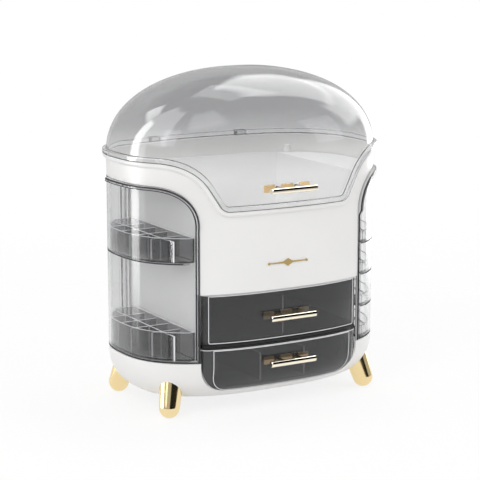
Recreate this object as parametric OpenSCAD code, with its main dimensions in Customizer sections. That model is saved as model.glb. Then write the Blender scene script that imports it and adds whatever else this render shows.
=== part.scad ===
// Makeup organizer with a clear lid, two clear side doors and two smoke drawers.
// Millimetres, +Z up. The object stands on Z = 0 with its bounding box centred on the Z axis.
// X is the width and -Y is the front.

/* [Body] */
// Width over the straight side walls
body_w = 292; // [280:1:310]
// Depth over the straight front and back walls
body_d = 189; // [181:1:205]
// Squareness of the oval plan, where 2 is an ellipse
plan_power = 2.6; // [2.4:0.05:2.9]
// Thickness of the moulded walls
wall = 2.5; // [2:0.1:3]
// Height of the seam between the base and the body
base_top_z = 58; // [54:0.5:62]
// Lower edge of the white front panel
panel_low_z = 129.4; // [124:0.2:136]
// Height of the rim that carries the lid at the sides and back
rim_z = 263.4; // [261:0.2:272]
// Gap between the edges of pieces that open
edge_gap = 0.4; // [0.3:0.05:0.6]

/* [Scoop in the front of the rim] */
// Height of the low, flat part of the scoop
scoop_z = 213.5; // [208:0.5:218]
// From the end of the flat part to the side of the body
scoop_side = 80; // [76:1:86]
// Radius at the foot of the scoop's slope
scoop_foot_r = 12.5; // [8:0.5:16]
// Radius at the head of the scoop's slope
scoop_head_r = 52; // [46:0.5:60]
// Steepest angle of the slope
scoop_angle = 59; // [56:1:64]

/* [Base and feet] */
// Depth of the rounded base under its seam
bowl_drop = 43.5; // [40:0.5:48]
// How far the base curves in at its bottom
bowl_inset = 42; // [36:1:46]
// Squareness of the base's profile
bowl_power = 2.4; // [2.1:0.1:2.8]
// From the side of the body to the middle of each foot's pad
foot_in = 26.2; // [25:0.2:31]
// From the front or back of the body to the middle of each foot's pad
foot_deep = 36.3; // [35.5:0.2:41.5]
// Direction in which the feet splay, measured from X
foot_heading = 47; // [40:1:55]
// Splay of the feet from upright
foot_splay = 20; // [16:1:24]
// Radius of the rounded end of a foot
foot_end_r = 10.9; // [9.5:0.1:11.5]
// Taper of a foot on each side
foot_taper = 3.5; // [2:0.5:6]
// Depth of the flat pad cut into the rounded end of a foot
foot_pad = 0.9; // [0.5:0.1:1.5]

/* [Side doors] */
// Width of the doors seen from the front
door_reach = 50.6; // [47:0.2:51.4]
// Height of the top edge of the door opening
door_top_z = 240.5; // [237:0.5:243]
// Radius of the arch at the top of the opening
arch_r = 40; // [32:1:44]
// From the side of the body to the door pivots
pivot_in = 43; // [40:0.2:44]
// Radius of the door's hinge barrel
barrel_r = 3.6; // [3.3:0.1:4]
// How far the hinge barrel stands proud of the wall
barrel_proud = 1.2; // [1:0.1:2]
// Radius of the door pins
door_pin_r = 1.5; // [1.2:0.1:1.8]
// Length of a door pin inside the door
door_pin_in = 9; // [7:0.5:12]

/* [Edge beads] */
// How far the lid's rim bead stands proud of the wall
bead_proud = 4.2; // [3:0.2:4.6]
// Height of the lid's rim bead
bead_h = 5; // [4:0.2:6]
// How far the lip at the body's rim stands proud of the wall
lip_proud = 3.6; // [2:0.2:4]
// Height of the lip at the body's rim
lip_h = 4; // [2.5:0.5:6]
// Width of the bead around a door
door_bead_w = 4; // [3:0.2:5]
// How far the upright part of the door bead stands proud
door_bead_proud = 1.4; // [1:0.1:2]

/* [Lid] */
// Height of the dome above the rim
dome_h = 86.5; // [76:0.5:92]
// Squareness of the dome's profile
dome_power = 2.17; // [2:0.01:2.4]
// Radius of the hinge knuckles
knuckle_r = 4; // [3.5:0.1:4.4]
// Length of one hinge knuckle
knuckle_l = 12; // [10:0.5:15]
// Distance of each lid hinge from the middle
lid_hinge_x = 55; // [45:1:62]
// Radius of the lid's hinge pins
lid_pin_r = 1.5; // [1.2:0.1:1.8]

/* [Drawers] */
// Gap between the drawer fronts and the opening for the doors
front_gap = 1.6; // [1.4:0.1:3]
// Radius of the rounded upright edges of the drawer fronts
face_r = 8; // [6:0.5:9]
// Thickness of the drawer walls
drawer_wall = 2.2; // [1.8:0.1:2.6]
// Bottom of the upper drawer's front
upper_low_z = 77.4; // [76:0.2:79]
// Top of the lower drawer's front
lower_top_z = 72; // [70:0.2:72.4]
// Bottom of the lower drawer's front
lower_low_z = 25.6; // [24.6:0.2:27]
// Radius of the lower drawer's bottom corners
lower_corner_r = 28; // [24:0.5:30]
// How far the box of the lower drawer steps in behind its front
lower_step = 13.8; // [13:0.2:18]
// From the drawers' back to the back of the body
drawer_rear = 22.5; // [21.5:0.5:30]
// Thickness of the dividers
divider_t = 1.8; // [1.4:0.1:2.4]
// Running gap of the drawers in their bay
run_gap = 0.5; // [0.3:0.1:0.7]

/* [Handles] */
// Length of a handle's bar
handle_l = 54; // [46:1:62]
// Thickness of a handle's bar
handle_t = 6.4; // [5.6:0.2:7]
// Distance between a handle's posts
handle_pitch = 22; // [18:1:30]
// Gap between the bar and the wall behind it
handle_gap = 8.5; // [7:0.5:9.5]
// From the foot of the scoop up to the middle of the lid's handle
lid_handle_up = 20.3; // [18:0.1:26]
// Height of the middle of the upper drawer's handle
upper_handle_z = 102; // [98:0.5:108]
// Height of the middle of the lower drawer's handle
lower_handle_z = 54.2; // [52:0.2:58]

/* [Trays in the doors] */
// From the front edge of a door to the inner wall of its trays, seen from the front
tray_gap = 2.2; // [1.6:0.2:3.6]
// From the front of the body to the trays
tray_fore = 20.5; // [18.5:0.5:24.5]
// From the trays to the back of the body
tray_rear = 30.5; // [28.5:0.5:34.5]
// Thickness of the trays' walls
tray_wall = 1.8; // [1.5:0.1:2.2]
// Bottoms of the two grid trays in the left door
grid_z = [60.6, 162.6]; // [58:0.2:170]
// Heights of the two grid trays
grid_h = [30, 25.4]; // [20:0.2:34]
// Width of the inner row of cells of a grid tray
grid_inner = 22.4; // [19.5:0.5:25.5]
// Number of cells along a grid tray
grid_cells = 5; // [3:1:6]
// Bottoms of the four trays in the right door
shelf_z = [60.6, 95, 130, 164]; // [58:0.2:170]
// Height of the low rim of the trays in the right door
shelf_h = 12; // [8:1:18]

/* [Screws] */
// Radius of the screw shanks
screw_r = 1.5; // [1.2:0.1:1.7]
// Radius of the screw heads
screw_head_r = 2.9; // [2.6:0.1:3.2]
// Height of the screw heads
screw_head_h = 1.8; // [1.4:0.1:2.2]

/* [Hidden] */

$fn = 48;
sides = 72;          // points around the oval plan
far = 400;           // reaches past the whole object
ornament_z = 157;    // height of the ornament on the front panel
ornament_t = 0.8;    // how far the ornament stands proud
ornament_half = 22.5;
lozenge_l = 7;
lozenge_h = 4;
fit = 0.05;          // radial clearance of pins and screws in their bores
skin = 0.4;          // gap between moulded pieces that nest
run_rise = 0.3;      // height at which the drawers run clear of their rails
lap = 0.6;           // how far one region reaches into another that it is joined to

half_w = body_w / 2;
half_d = body_d / 2;
scoop_flat = half_w - scoop_side;          // half length of the scoop's flat part
door_x = half_w - door_reach;              // front edge of the door openings
pivot_x = half_w - pivot_in;
face_half = door_x - front_gap;            // half width of the drawer fronts
lid_handle_z = scoop_z + lid_handle_up;    // middle of the lid's handle
lower_box_half = face_half - lower_step;
drawer_back_y = half_d - drawer_rear;
tray_x = door_x + tray_gap;                // outer face of the trays' inner wall
tray_front = half_d - tray_fore;
tray_back = half_d - tray_rear;
grid_split_x = tray_x + grid_inner;
foot_x = half_w - foot_in;
foot_y = half_d - foot_deep;
front_reach = half_d + handle_gap + handle_t;
hinge_y = half_d + lip_proud + edge_gap + knuckle_r;
hinge_z = rim_z - 5;
back_reach = hinge_y + knuckle_r;
plan_y = (front_reach - back_reach) / 2;   // centres the bounding box on the Z axis

column_x = door_x - edge_gap;              // outer face of the column walls
column_t = 1.8;
column_in = column_x - column_t;
column_front = half_d - 23;                // the column walls stop behind the drawer fronts
floor_low = base_top_z - wall;
deck_low = door_top_z + 0.7;
deck_t = 2;
ledge = 2;
well_low = panel_low_z + ledge;
well_front_drop = 12;                      // the well's front stays this far under the scoop

WHITE = [0.95, 0.94, 0.93];
LINER = [0.90, 0.90, 0.90];
CLEAR = [0.80, 0.82, 0.84, 0.35];
SMOKE = [0.25, 0.26, 0.28, 0.55];
GOLD = [0.88, 0.76, 0.50];
STEEL = [0.70, 0.70, 0.72];

// ---- the oval plan ----

function signed_pow(c, e) = sign(c) * pow(abs(c), e);

// Points of the plan, drawn in from the outside by inset (a negative inset stands proud)
function oval(inset, scale = 1) = [for (i = [0 : sides - 1]) let (t = 360 * (i + 0.5) / sides)
    [(half_w - inset) * scale * signed_pow(cos(t), 2 / plan_power),
     (half_d - inset) * scale * signed_pow(sin(t), 2 / plan_power)]];

// Half depth of the plan at a distance x from the middle
function oval_y(x, inset = 0) =
    (half_d - inset) * pow(1 - pow(abs(x) / (half_w - inset), plan_power), 1 / plan_power);

// Angle of the plan's outward normal at x, where 0 is along X and 90 along Y
function oval_normal(x, inset = 0) = atan2(
    pow(oval_y(x, inset), plan_power - 1) / pow(half_d - inset, plan_power),
    pow(abs(x), plan_power - 1) / pow(half_w - inset, plan_power));

function arc(cx, cy, r, a0, a1, steps) = [for (i = [0 : steps])
    let (a = a0 + (a1 - a0) * i / steps) [cx + r * cos(a), cy + r * sin(a)]];

function flipped(points) = [for (i = [len(points) - 1 : -1 : 0]) [-points[i][0], points[i][1]]];
function backwards(points) = [for (i = [len(points) - 1 : -1 : 0]) points[i]];

module stand() translate([0, plan_y, 0]) children();

module oval_prism(inset, z0, z1)
    translate([0, 0, z0]) linear_extrude(z1 - z0) polygon(oval(inset));

module oval_ring(outer, inner, z0, z1)
    translate([0, 0, z0]) linear_extrude(z1 - z0) difference() {
        polygon(oval(outer));
        polygon(oval(inner));
    }

// A prism along Y of an outline in X and Z, from y0 back to y1
module along_y(points, y0, y1)
    translate([0, y1, 0]) rotate([90, 0, 0]) linear_extrude(y1 - y0) polygon(points);

module both_sides() {
    children();
    mirror([1, 0, 0]) children();
}

// ---- the scoop in the front of the rim ----

scoop_rise = rim_z - scoop_z;
scoop_line = (scoop_rise - (scoop_foot_r + scoop_head_r) * (1 - cos(scoop_angle))) / sin(scoop_angle);
scoop_head_x = scoop_flat + (scoop_foot_r + scoop_head_r) * sin(scoop_angle)
    + scoop_line * cos(scoop_angle);

// Right half of the scoop's edge, moved up square to itself by rise
function scoop_half(rise) = concat(
    arc(scoop_flat, scoop_z + scoop_foot_r, scoop_foot_r - rise, -90, scoop_angle - 90, 6),
    arc(scoop_head_x, rim_z - scoop_head_r, scoop_head_r + rise, 90 + scoop_angle, 90, 10),
    [[far, rim_z + rise]]);
function scoop_edge(rise) = concat(flipped(scoop_half(rise)), scoop_half(rise));

// Everything between two edges that run parallel to the rim
module rim_band(low, high) {
    along_y(concat(scoop_edge(low), backwards(scoop_edge(high))), -far, 0);
    translate([-far, -lap, rim_z + low]) cube([2 * far, far, high - low]);
}

// Everything above the rim's edge
module above_rim(rise) {
    along_y(concat(scoop_edge(rise), [[far, far], [-far, far]]), -far, 0);
    translate([-far, -lap, rim_z + rise]) cube([2 * far, far, far]);
}

// ---- the door openings ----

pivot_y = oval_y(pivot_x) - (barrel_r - barrel_proud) / sin(oval_normal(pivot_x));

// Outline of the right door opening seen from the front, drawn in by inset
function door_outline(inset) = concat(
    [[far, base_top_z + inset], [door_x + inset, base_top_z + inset]],
    arc(door_x + arch_r, door_top_z - arch_r, arch_r - inset, 180, 90, 10),
    [[far, door_top_z - inset]]);

// The space that the right door fills, drawn in by inset
module door_space(inset) {
    along_y(door_outline(inset), -far, lap);
    translate([pivot_x, 0, base_top_z + inset])
        cube([far, far, door_top_z - base_top_z - 2 * inset]);
}

// ---- the drawers ----

// Plan of a drawer, drawn in by inset: the front follows the body and its edges are rounded
function drawer_plan(box_half, inset) =
    let (r = face_r - inset,
         half = face_half - inset,
         turn = oval_normal(face_half - face_r * 0.67),
         touch = half - r * (1 - cos(turn)),
         middle_y = -(oval_y(touch, inset) - r * sin(turn)),
         step_y = -(column_front + 1 + inset),
         front = [for (i = [0 : 16]) let (x = touch * i / 16) [x, -oval_y(x, inset)]],
         side = concat(front, arc(half - r, middle_y, r, -turn, 0, 5),
             [[half, step_y], [box_half - inset, step_y], [box_half - inset, drawer_back_y - inset]]))
    concat(flipped(side), side);

upper_box_half = column_in - run_gap;
shelf_low = lower_top_z + ledge;
shelf_t = upper_low_z - run_rise - shelf_low;
upper_top_z = panel_low_z - edge_gap;
lower_floor_z = lower_low_z + lower_corner_r + edge_gap
    - sqrt(pow(lower_corner_r, 2) - pow(lower_box_half - face_half + lower_corner_r, 2)) + 0.6;

// ---- the base ----

// Inset and height of the base's profile at an angle from its top (0) to its bottom (90)
function bowl_in(a, skin_t) = (bowl_inset) * (1 - pow(cos(a), 2 / bowl_power)) + skin_t;
function bowl_z(a, skin_t) = base_top_z - (bowl_drop - skin_t) * pow(sin(a), 2 / bowl_power);

// A solid stack of rings, closed at both ends, made of points that go round and then up
function ring_faces(count) = concat(
    [[for (i = [0 : sides - 1]) i]],
    [for (k = [0 : count - 2], i = [0 : sides - 1])
        let (j = (i + 1) % sides)
        [k * sides + i, (k + 1) * sides + i, (k + 1) * sides + j]],
    [for (k = [0 : count - 2], i = [0 : sides - 1])
        let (j = (i + 1) % sides)
        [k * sides + i, (k + 1) * sides + j, k * sides + j]],
    [[for (i = [sides - 1 : -1 : 0]) (count - 1) * sides + i]]);

bowl_rings = 8;
// The rounded base as a solid, drawn in by skin_t
module bowl_solid(skin_t) {
    levels = [for (k = [0 : bowl_rings - 1]) 90 * (1 - k / (bowl_rings - 1))];
    points = [for (a = levels) for (p = oval(bowl_in(a, skin_t))) [p[0], p[1], bowl_z(a, skin_t)]];
    polyhedron(points, ring_faces(bowl_rings));
}

// Outline of the opening for the lower drawer seen from the front, drawn in by inset
function lower_outline(inset, top) =
    let (r = lower_corner_r, half = face_half + edge_gap - inset)
    concat([[-half, top]],
        arc(-(half + inset - r), lower_low_z - edge_gap + r, r - inset, 180, 270, 8),
        arc(half + inset - r, lower_low_z - edge_gap + r, r - inset, 270, 360, 8),
        [[half, top]]);

// ---- shared hardware ----

// A pan head screw: its head sits on Z = 0 and its shank runs down to -length
module screw(length) {
    translate([0, 0, -length]) cylinder(r = screw_r, h = length + lap);
    cylinder(r = screw_head_r, h = screw_head_h);
}

// Turns Z to face the front, so that a screw runs forward
module facing_back() rotate([90, 0, 0]) mirror([0, 0, 1]) children();

screw_depth = 7;     // how deep a handle's screws reach into its posts
seat_depth = 5;      // clear depth behind a screw's head
post_r = 3;

// Handle with its back on Y = 0, its bar towards -Y and its middle on the origin
module handle_shape() {
    bar_r = 2;
    reach = handle_t / 2 - bar_r;
    middle = handle_gap + handle_t / 2;
    difference() {
        union() {
            translate([-handle_l / 2, -middle, 0]) rotate([90, 0, 90]) linear_extrude(handle_l)
                polygon(concat(arc(reach, reach, bar_r, 0, 90, 4), arc(-reach, reach, bar_r, 90, 180, 4),
                    arc(-reach, -reach, bar_r, 180, 270, 4), arc(reach, -reach, bar_r, 270, 360, 4)));
            for (x = [-1, 1]) translate([x * handle_pitch / 2, 1, 0])
                rotate([90, 0, 0]) cylinder(r = post_r, h = middle + 1);
        }
        for (x = [-1, 1]) translate([x * handle_pitch / 2, 2, 0])
            rotate([90, 0, 0]) cylinder(r = screw_r + fit, h = screw_depth + 2);
    }
}

// Where the handles' posts meet the front wall
post_y = oval_y(handle_pitch / 2);

// A handle whose posts end on the face of the piece behind it
module handle_at(z) stand() color(GOLD) difference() {
    translate([0, -post_y, z]) handle_shape();
    children();
}

module handle_screws_at(z, thickness) stand() color(STEEL)
    for (x = [-1, 1]) translate([x * handle_pitch / 2, thickness + 2 * fit - post_y, z])
        facing_back() screw(screw_depth + thickness - 0.5);

// Bores for a handle's screws, with a flat seat for their heads behind a wall
module handle_bores(z, thickness) for (x = [-1, 1])
    translate([x * handle_pitch / 2, thickness + fit - post_y, z]) {
        translate([0, far / 2, 0]) rotate([90, 0, 0]) cylinder(r = screw_r + fit, h = far);
        facing_back() cylinder(r = screw_head_r + skin, h = seat_depth);
    }

// ---- hardware places ----

foot_spots = [[-1, -1], [1, -1], [-1, 1], [1, 1]];
foot_end_z = foot_end_r - foot_pad;
foot_reach = base_top_z - foot_end_z;
foot_screw_top = 31;                 // along a foot's axis, from the end's centre
foot_bore_low = 2.2;                 // bottom of the screw's bore along the same axis
base_screw_x = half_w - 34;
base_screw_y = half_d - 70.5;
base_boss_r = 4.6;
foot_boss_r = 7;
rail_w = 8;                          // width of the lower drawer's rails
rail_in = 14;                        // how far in they lie from its box's side and front
base_seat_z = base_top_z - 30;
base_joint_z = base_top_z - 18;
base_grip = 12;                      // how deep the base screws reach into the body
door_pin_low = base_top_z - door_pin_in;
door_pin_high = door_top_z + door_pin_in;
door_bead_back = 64.5;               // the doors' top bead ends this far before the back

// Moves to a foot's end, with Z along the foot's axis
module at_foot(spot) translate([0, 0, foot_end_z])
    mirror([spot[0] < 0 ? 1 : 0, 0, 0]) mirror([0, spot[1] < 0 ? 1 : 0, 0])
    translate([foot_x, foot_y, 0]) rotate([0, 0, foot_heading]) rotate([0, -foot_splay, 0]) children();

module at_base_screws() for (spot = foot_spots)
    translate([spot[0] * base_screw_x, spot[1] * base_screw_y, 0]) children();

module at_lid_hinges() for (side = [-1, 1])
    translate([side * lid_hinge_x, hinge_y, hinge_z]) rotate([0, 90, 0]) children();

// ---- body ----

module body_wall() difference() {
    oval_ring(0, wall, base_top_z, rim_z);
    above_rim(0);
    both_sides() door_space(0);
    along_y([[-door_x, 0], [door_x, 0], [door_x, panel_low_z], [-door_x, panel_low_z]], -far, 0);
}

// The lip that carries the lid's bead
module body_lip() intersection() {
    oval_ring(-lip_proud, lap, base_top_z, rim_z);
    rim_band(-lip_h, 0);
}

// The two walls that shut the middle bay off from the side compartments
module column_walls() difference() {
    intersection() {
        both_sides() translate([column_in, -half_d, floor_low])
            cube([column_t, body_d, deck_low - floor_low - edge_gap]);
        union() {
            oval_prism(wall + skin, 0, far);
            oval_prism(lap, base_top_z, far);
        }
    }
    translate([-half_w, -half_d, 0]) cube([body_w, half_d - column_front, panel_low_z]);
}

module side_floors() {
    difference() {
        oval_prism(wall + skin, floor_low, base_top_z);
        translate([-column_in, -half_d, 0]) cube([2 * column_in, half_d + drawer_back_y + 4, far]);
        translate([-column_x - 0.1, -half_d, 0]) cube([2 * column_x + 0.2, half_d - column_front, far]);
    }
    intersection() {
        oval_ring(0, wall + 4, base_top_z - lap, base_top_z + wall);
        union() {
            translate([-column_x, drawer_back_y + 4, base_top_z]) cube([2 * column_x, far, far]);
            oval_ring(wall + skin, wall + 4, base_top_z - lap, base_top_z + wall);
        }
        translate([-column_x, 0, 0]) cube([2 * column_x, far, far]);
    }
}

module ledges() both_sides() for (z = [shelf_low - ledge, well_low - ledge])
    translate([column_in - ledge, -column_front, z])
        cube([ledge + lap, column_front + drawer_back_y - 6, ledge]);

module upper_sockets() both_sides() translate([pivot_x, pivot_y, door_top_z])
    cylinder(r = barrel_r, h = door_pin_high - door_top_z + 2);

module lower_sockets(radius) both_sides() translate([pivot_x, pivot_y, door_pin_low - 2])
    cylinder(r = radius, h = base_top_z - door_pin_low + 2);

// How far a lid hinge's axis lies behind the wall at the ends of its knuckles
hinge_back = hinge_y - oval_y(lid_hinge_x + 1.5 * knuckle_l + edge_gap);

// Two outer knuckles of each lid hinge, with webs to the back wall
module body_knuckles() at_lid_hinges() for (side = [-1, 1])
    translate([0, 0, side * (knuckle_l + edge_gap) - knuckle_l / 2]) {
        cylinder(r = knuckle_r, h = knuckle_l);
        translate([-knuckle_r, -hinge_back - lap, 0])
            cube([2 * knuckle_r, hinge_back + lap, knuckle_l]);
    }

module body_shell() stand() color(WHITE) difference() {
    union() {
        difference() {
            body_wall();
            both_sides() translate([pivot_x, pivot_y, base_top_z])
                cylinder(r = barrel_r + edge_gap, h = door_top_z - base_top_z);
        }
        body_lip();
        column_walls();
        side_floors();
        ledges();
        upper_sockets();
        body_knuckles();
        at_base_screws() translate([0, 0, base_joint_z])
            cylinder(r = base_boss_r, h = base_top_z - base_joint_z - 1);
    }
    at_lid_hinges() cylinder(r = lid_pin_r + fit, h = far, center = true);
    lower_sockets(barrel_r + 2 * skin);
    both_sides() translate([pivot_x, pivot_y, door_top_z - 1])
        cylinder(r = door_pin_r + fit, h = door_pin_high - door_top_z + 1);
    at_base_screws() translate([0, 0, base_joint_z - 1]) cylinder(r = screw_r + fit, h = base_grip + 3);
}

// A deep white tray that lines the middle bay and covers the side compartments
module well_liner() stand() color(LINER) difference() {
    intersection() {
        union() {
            translate([-upper_box_half, -half_d, well_low])
                cube([2 * upper_box_half, body_d, deck_low + deck_t - well_low]);
            translate([-half_w, -half_d, deck_low]) cube([body_w, body_d, deck_t]);
        }
        oval_prism(wall + skin, 0, far);
    }
    intersection() {
        translate([deck_t - upper_box_half, -half_d, well_low + deck_t])
            cube([2 * (upper_box_half - deck_t), body_d, far]);
        union() {
            oval_prism(wall + skin + deck_t, 0, far);
            translate([-half_w, -half_d, scoop_z - well_front_drop]) cube([body_w, half_d, far]);
        }
    }
    both_sides() translate([pivot_x, pivot_y, deck_low - 1]) cylinder(r = barrel_r + skin, h = far);
    above_rim(-skin);
}

// Smoke shelf between the drawers, with the rail that shows between their fronts
module drawer_shelf() stand() color(SMOKE) intersection() {
    union() {
        translate([-column_in + skin, -column_front, shelf_low])
            cube([2 * (column_in - skin), column_front + drawer_back_y, shelf_t]);
        difference() {
            translate([-face_half + 1, -half_d, lower_top_z + edge_gap])
                cube([2 * face_half - 2, half_d - column_front - 1, upper_low_z - lower_top_z - 2 * edge_gap]);
            oval_prism(drawer_wall + 4, 0, far);
        }
        translate([-column_in + skin, -half_d, shelf_low])
            cube([2 * (column_in - skin), half_d - column_front + lap, shelf_t]);
    }
    oval_prism(1.5, 0, far);
}

// A plain gold ornament: a lozenge on a slim bar with a bead at each end
module front_ornament() stand() color(GOLD) difference() {
    translate([0, -half_d - ornament_t, ornament_z]) rotate([90, 0, 0]) mirror([0, 0, 1])
        linear_extrude(ornament_t + 2) {
            polygon([[-lozenge_l, 0], [0, lozenge_h], [lozenge_l, 0], [0, -lozenge_h]]);
            for (side = [-1, 1]) {
                polygon([[side * (lozenge_l - 1), -0.8], [side * (lozenge_l - 1), 0.8],
                    [side * ornament_half, 0.4], [side * ornament_half, -0.4]]);
                translate([side * ornament_half, 0]) circle(r = 1.3);
            }
        }
    oval_prism(0, 0, far);
}

// ---- base and feet ----

module base_bowl() stand() color(WHITE) difference() {
    union() {
        difference() {
            bowl_solid(0);
            bowl_solid(wall);
            translate([0, 0, base_top_z]) cylinder(r = far, h = far);
        }
        lower_sockets(barrel_r);
        intersection() {
            bowl_solid(wall / 2);
            union() {
                at_base_screws() cylinder(r = base_boss_r + 1.4, h = base_joint_z - skin);
                for (spot = foot_spots) at_foot(spot) cylinder(r = foot_boss_r, h = foot_screw_top);
                both_sides() translate([lower_box_half - rail_in, rail_in - column_front, 0])
                    cube([rail_w, column_front + half_d, lower_floor_z - run_rise]);
            }
        }
    }
    along_y(lower_outline(0, far), -far, -column_front - 2);
    both_sides() translate([pivot_x, pivot_y, door_pin_low]) cylinder(r = door_pin_r + fit, h = far);
    at_base_screws() {
        cylinder(r = screw_r + fit, h = far);
        cylinder(r = screw_head_r + skin, h = base_seat_z);
    }
    for (spot = foot_spots) at_foot(spot) {
        cylinder(r = screw_r + fit, h = far);
        translate([0, 0, foot_screw_top]) cylinder(r = foot_boss_r + 1, h = 2 * foot_boss_r);
    }
}

// A tapered leg with a rounded end, cut flat for the ground and trimmed to the base
module foot(spot) stand() color(GOLD) difference() {
    at_foot(spot) difference() {
        rotate_extrude() polygon(concat(arc(0, 0, foot_end_r, -90, -foot_taper, 8),
            [[foot_end_r / cos(foot_taper) + foot_reach * tan(foot_taper), foot_reach], [0, foot_reach]]));
        translate([0, 0, foot_bore_low]) cylinder(r = screw_r + fit, h = far);
    }
    bowl_solid(0);
    translate([-half_w, -half_d, base_top_z - lap]) cube([body_w, body_d, far]);
    translate([0, 0, -far / 2]) cube(far, center = true);
}

module foot_front_left() foot(foot_spots[0]);
module foot_front_right() foot(foot_spots[1]);
module foot_rear_left() foot(foot_spots[2]);
module foot_rear_right() foot(foot_spots[3]);

module foot_screws() stand() color(STEEL) for (spot = foot_spots) at_foot(spot)
    translate([0, 0, foot_screw_top]) screw(foot_screw_top - foot_bore_low - 1);

module base_screws() stand() color(STEEL) at_base_screws()
    translate([0, 0, base_seat_z]) mirror([0, 0, 1]) screw(base_joint_z - base_seat_z + base_grip);

module door_pins() stand() color(STEEL) both_sides() translate([pivot_x, pivot_y, 0]) {
    translate([0, 0, door_pin_low]) cylinder(r = door_pin_r, h = base_top_z + door_pin_in - door_pin_low);
    translate([0, 0, door_top_z - door_pin_in]) cylinder(r = door_pin_r, h = 2 * door_pin_in);
}

module lid_hinge_pins() stand() color(STEEL) at_lid_hinges()
    cylinder(r = lid_pin_r, h = 3 * knuckle_l + 2 * edge_gap, center = true);

// ---- lid ----

dome_rings = 11;
module dome_solid(inset) {
    low = rim_z + edge_gap + lap;
    levels = [for (k = [0 : dome_rings - 1]) 90 * k / dome_rings];
    rings = [for (a = levels) for (p = oval(inset, pow(cos(a), 2 / dome_power)))
        [p[0], p[1], low + (dome_h - inset) * pow(sin(a), 2 / dome_power)]];
    top = len(rings);
    points = concat(rings, [[0, 0, low + dome_h - inset]]);
    faces = concat([[for (i = [0 : sides - 1]) i]],
        [for (k = [0 : dome_rings - 2], i = [0 : sides - 1]) let (j = (i + 1) % sides)
            [k * sides + i, (k + 1) * sides + i, (k + 1) * sides + j]],
        [for (k = [0 : dome_rings - 2], i = [0 : sides - 1]) let (j = (i + 1) % sides)
            [k * sides + i, (k + 1) * sides + j, k * sides + j]],
        [for (i = [0 : sides - 1]) [(dome_rings - 1) * sides + i, top,
            (dome_rings - 1) * sides + (i + 1) % sides]]);
    polyhedron(points, faces);
}

module lid_dome() stand() color(CLEAR) difference() {
    union() {
        difference() {
            dome_solid(0);
            dome_solid(wall);
        }
        difference() {
            oval_ring(0, wall, scoop_z, rim_z + edge_gap + lap);
            difference() {
                oval_prism(-1, 0, far);
                above_rim(edge_gap);
            }
        }
        intersection() {
            oval_ring(-bead_proud, lap, scoop_z, rim_z + 20);
            rim_band(edge_gap, edge_gap + bead_h);
        }
        at_lid_hinges() translate([0, 0, -knuckle_l / 2]) {
            cylinder(r = knuckle_r, h = knuckle_l);
            translate([-(rim_z - hinge_z) - edge_gap - bead_h, -knuckle_r, 0])
                cube([rim_z - hinge_z + edge_gap + bead_h, knuckle_r, knuckle_l]);
            translate([-(rim_z - hinge_z) - edge_gap - bead_h, -hinge_back - lap, 0])
                cube([bead_h, hinge_back, knuckle_l]);
        }
    }
    at_lid_hinges() cylinder(r = lid_pin_r + fit, h = far, center = true);
    handle_bores(lid_handle_z, wall);
}

module lid_handle() handle_at(lid_handle_z) oval_prism(0, 0, far);
module lid_handle_screws() handle_screws_at(lid_handle_z, wall);

// ---- side doors ----

// The right hand door; the left one is its mirror image. seats lists what its ledges carry
module door_shape(seats) difference() {
    union() {
        intersection() {
            oval_ring(0, wall, base_top_z, door_top_z);
            door_space(edge_gap);
        }
        // bead along the arch and the top
        intersection() {
            oval_ring(-bead_proud, lap, base_top_z, door_top_z);
            difference() {
                door_space(edge_gap);
                door_space(edge_gap + door_bead_w);
            }
            translate([door_x, -half_d - far, door_top_z - arch_r])
                cube([far, far + body_d - door_bead_back, far]);
        }
        // lower, flatter bead down the front edge
        intersection() {
            oval_ring(-door_bead_proud, lap, base_top_z + edge_gap, door_top_z - arch_r + lap);
            translate([door_x + edge_gap, -far, 0]) cube([door_bead_w, far, far]);
        }
        // hinge barrel down the rear edge
        translate([pivot_x, pivot_y, base_top_z + edge_gap])
            cylinder(r = barrel_r, h = door_top_z - base_top_z - 2 * edge_gap);
        // ledges under the trays
        for (z = seats) intersection() {
            oval_ring(lap, wall + 2.6, z - ledge, z);
            translate([tray_x + 2, -tray_front, 0]) cube([far, tray_front + tray_back, far]);
        }
    }
    translate([pivot_x, pivot_y, base_top_z]) {
        cylinder(r = door_pin_r + fit, h = door_pin_in + 1);
        translate([0, 0, door_top_z - base_top_z - door_pin_in - 1])
            cylinder(r = door_pin_r + fit, h = door_pin_in + 2);
    }
}

// Plan of a tray in the right door, drawn in by inset
module tray_plan(inset) intersection() {
    polygon(oval(wall + inset));
    translate([tray_x + inset, -tray_front + inset])
        square([half_w, tray_front + tray_back - 2 * inset]);
}

module tray_shape(z, height) translate([0, 0, z]) difference() {
    linear_extrude(height) tray_plan(0);
    translate([0, 0, tray_wall]) linear_extrude(height) tray_plan(tray_wall);
}

// A tray cut into two rows of cells
module grid_tray(z, height) {
    pitch = (tray_front + tray_back - tray_wall) / grid_cells;
    tray_shape(z, height);
    translate([0, 0, z]) intersection() {
        linear_extrude(height - 2) tray_plan(tray_wall / 2);
        union() {
            translate([grid_split_x, -tray_front, 0]) cube([tray_wall, tray_front + tray_back, far]);
            for (i = [1 : grid_cells - 1]) translate([tray_x, i * pitch - tray_front, 0])
                cube([half_w, tray_wall, far]);
        }
    }
}

module left_door() stand() color(CLEAR) mirror([1, 0, 0]) door_shape(grid_z);
module left_lower_tray() stand() color(SMOKE) mirror([1, 0, 0]) grid_tray(grid_z[0], grid_h[0]);
module left_upper_tray() stand() color(SMOKE) mirror([1, 0, 0]) grid_tray(grid_z[1], grid_h[1]);
module right_door() stand() color(CLEAR) door_shape(shelf_z);
module right_tray_1() stand() color(SMOKE) tray_shape(shelf_z[0], shelf_h);
module right_tray_2() stand() color(SMOKE) tray_shape(shelf_z[1], shelf_h);
module right_tray_3() stand() color(SMOKE) tray_shape(shelf_z[2], shelf_h);
module right_tray_4() stand() color(SMOKE) tray_shape(shelf_z[3], shelf_h);

// ---- drawers ----

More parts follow.
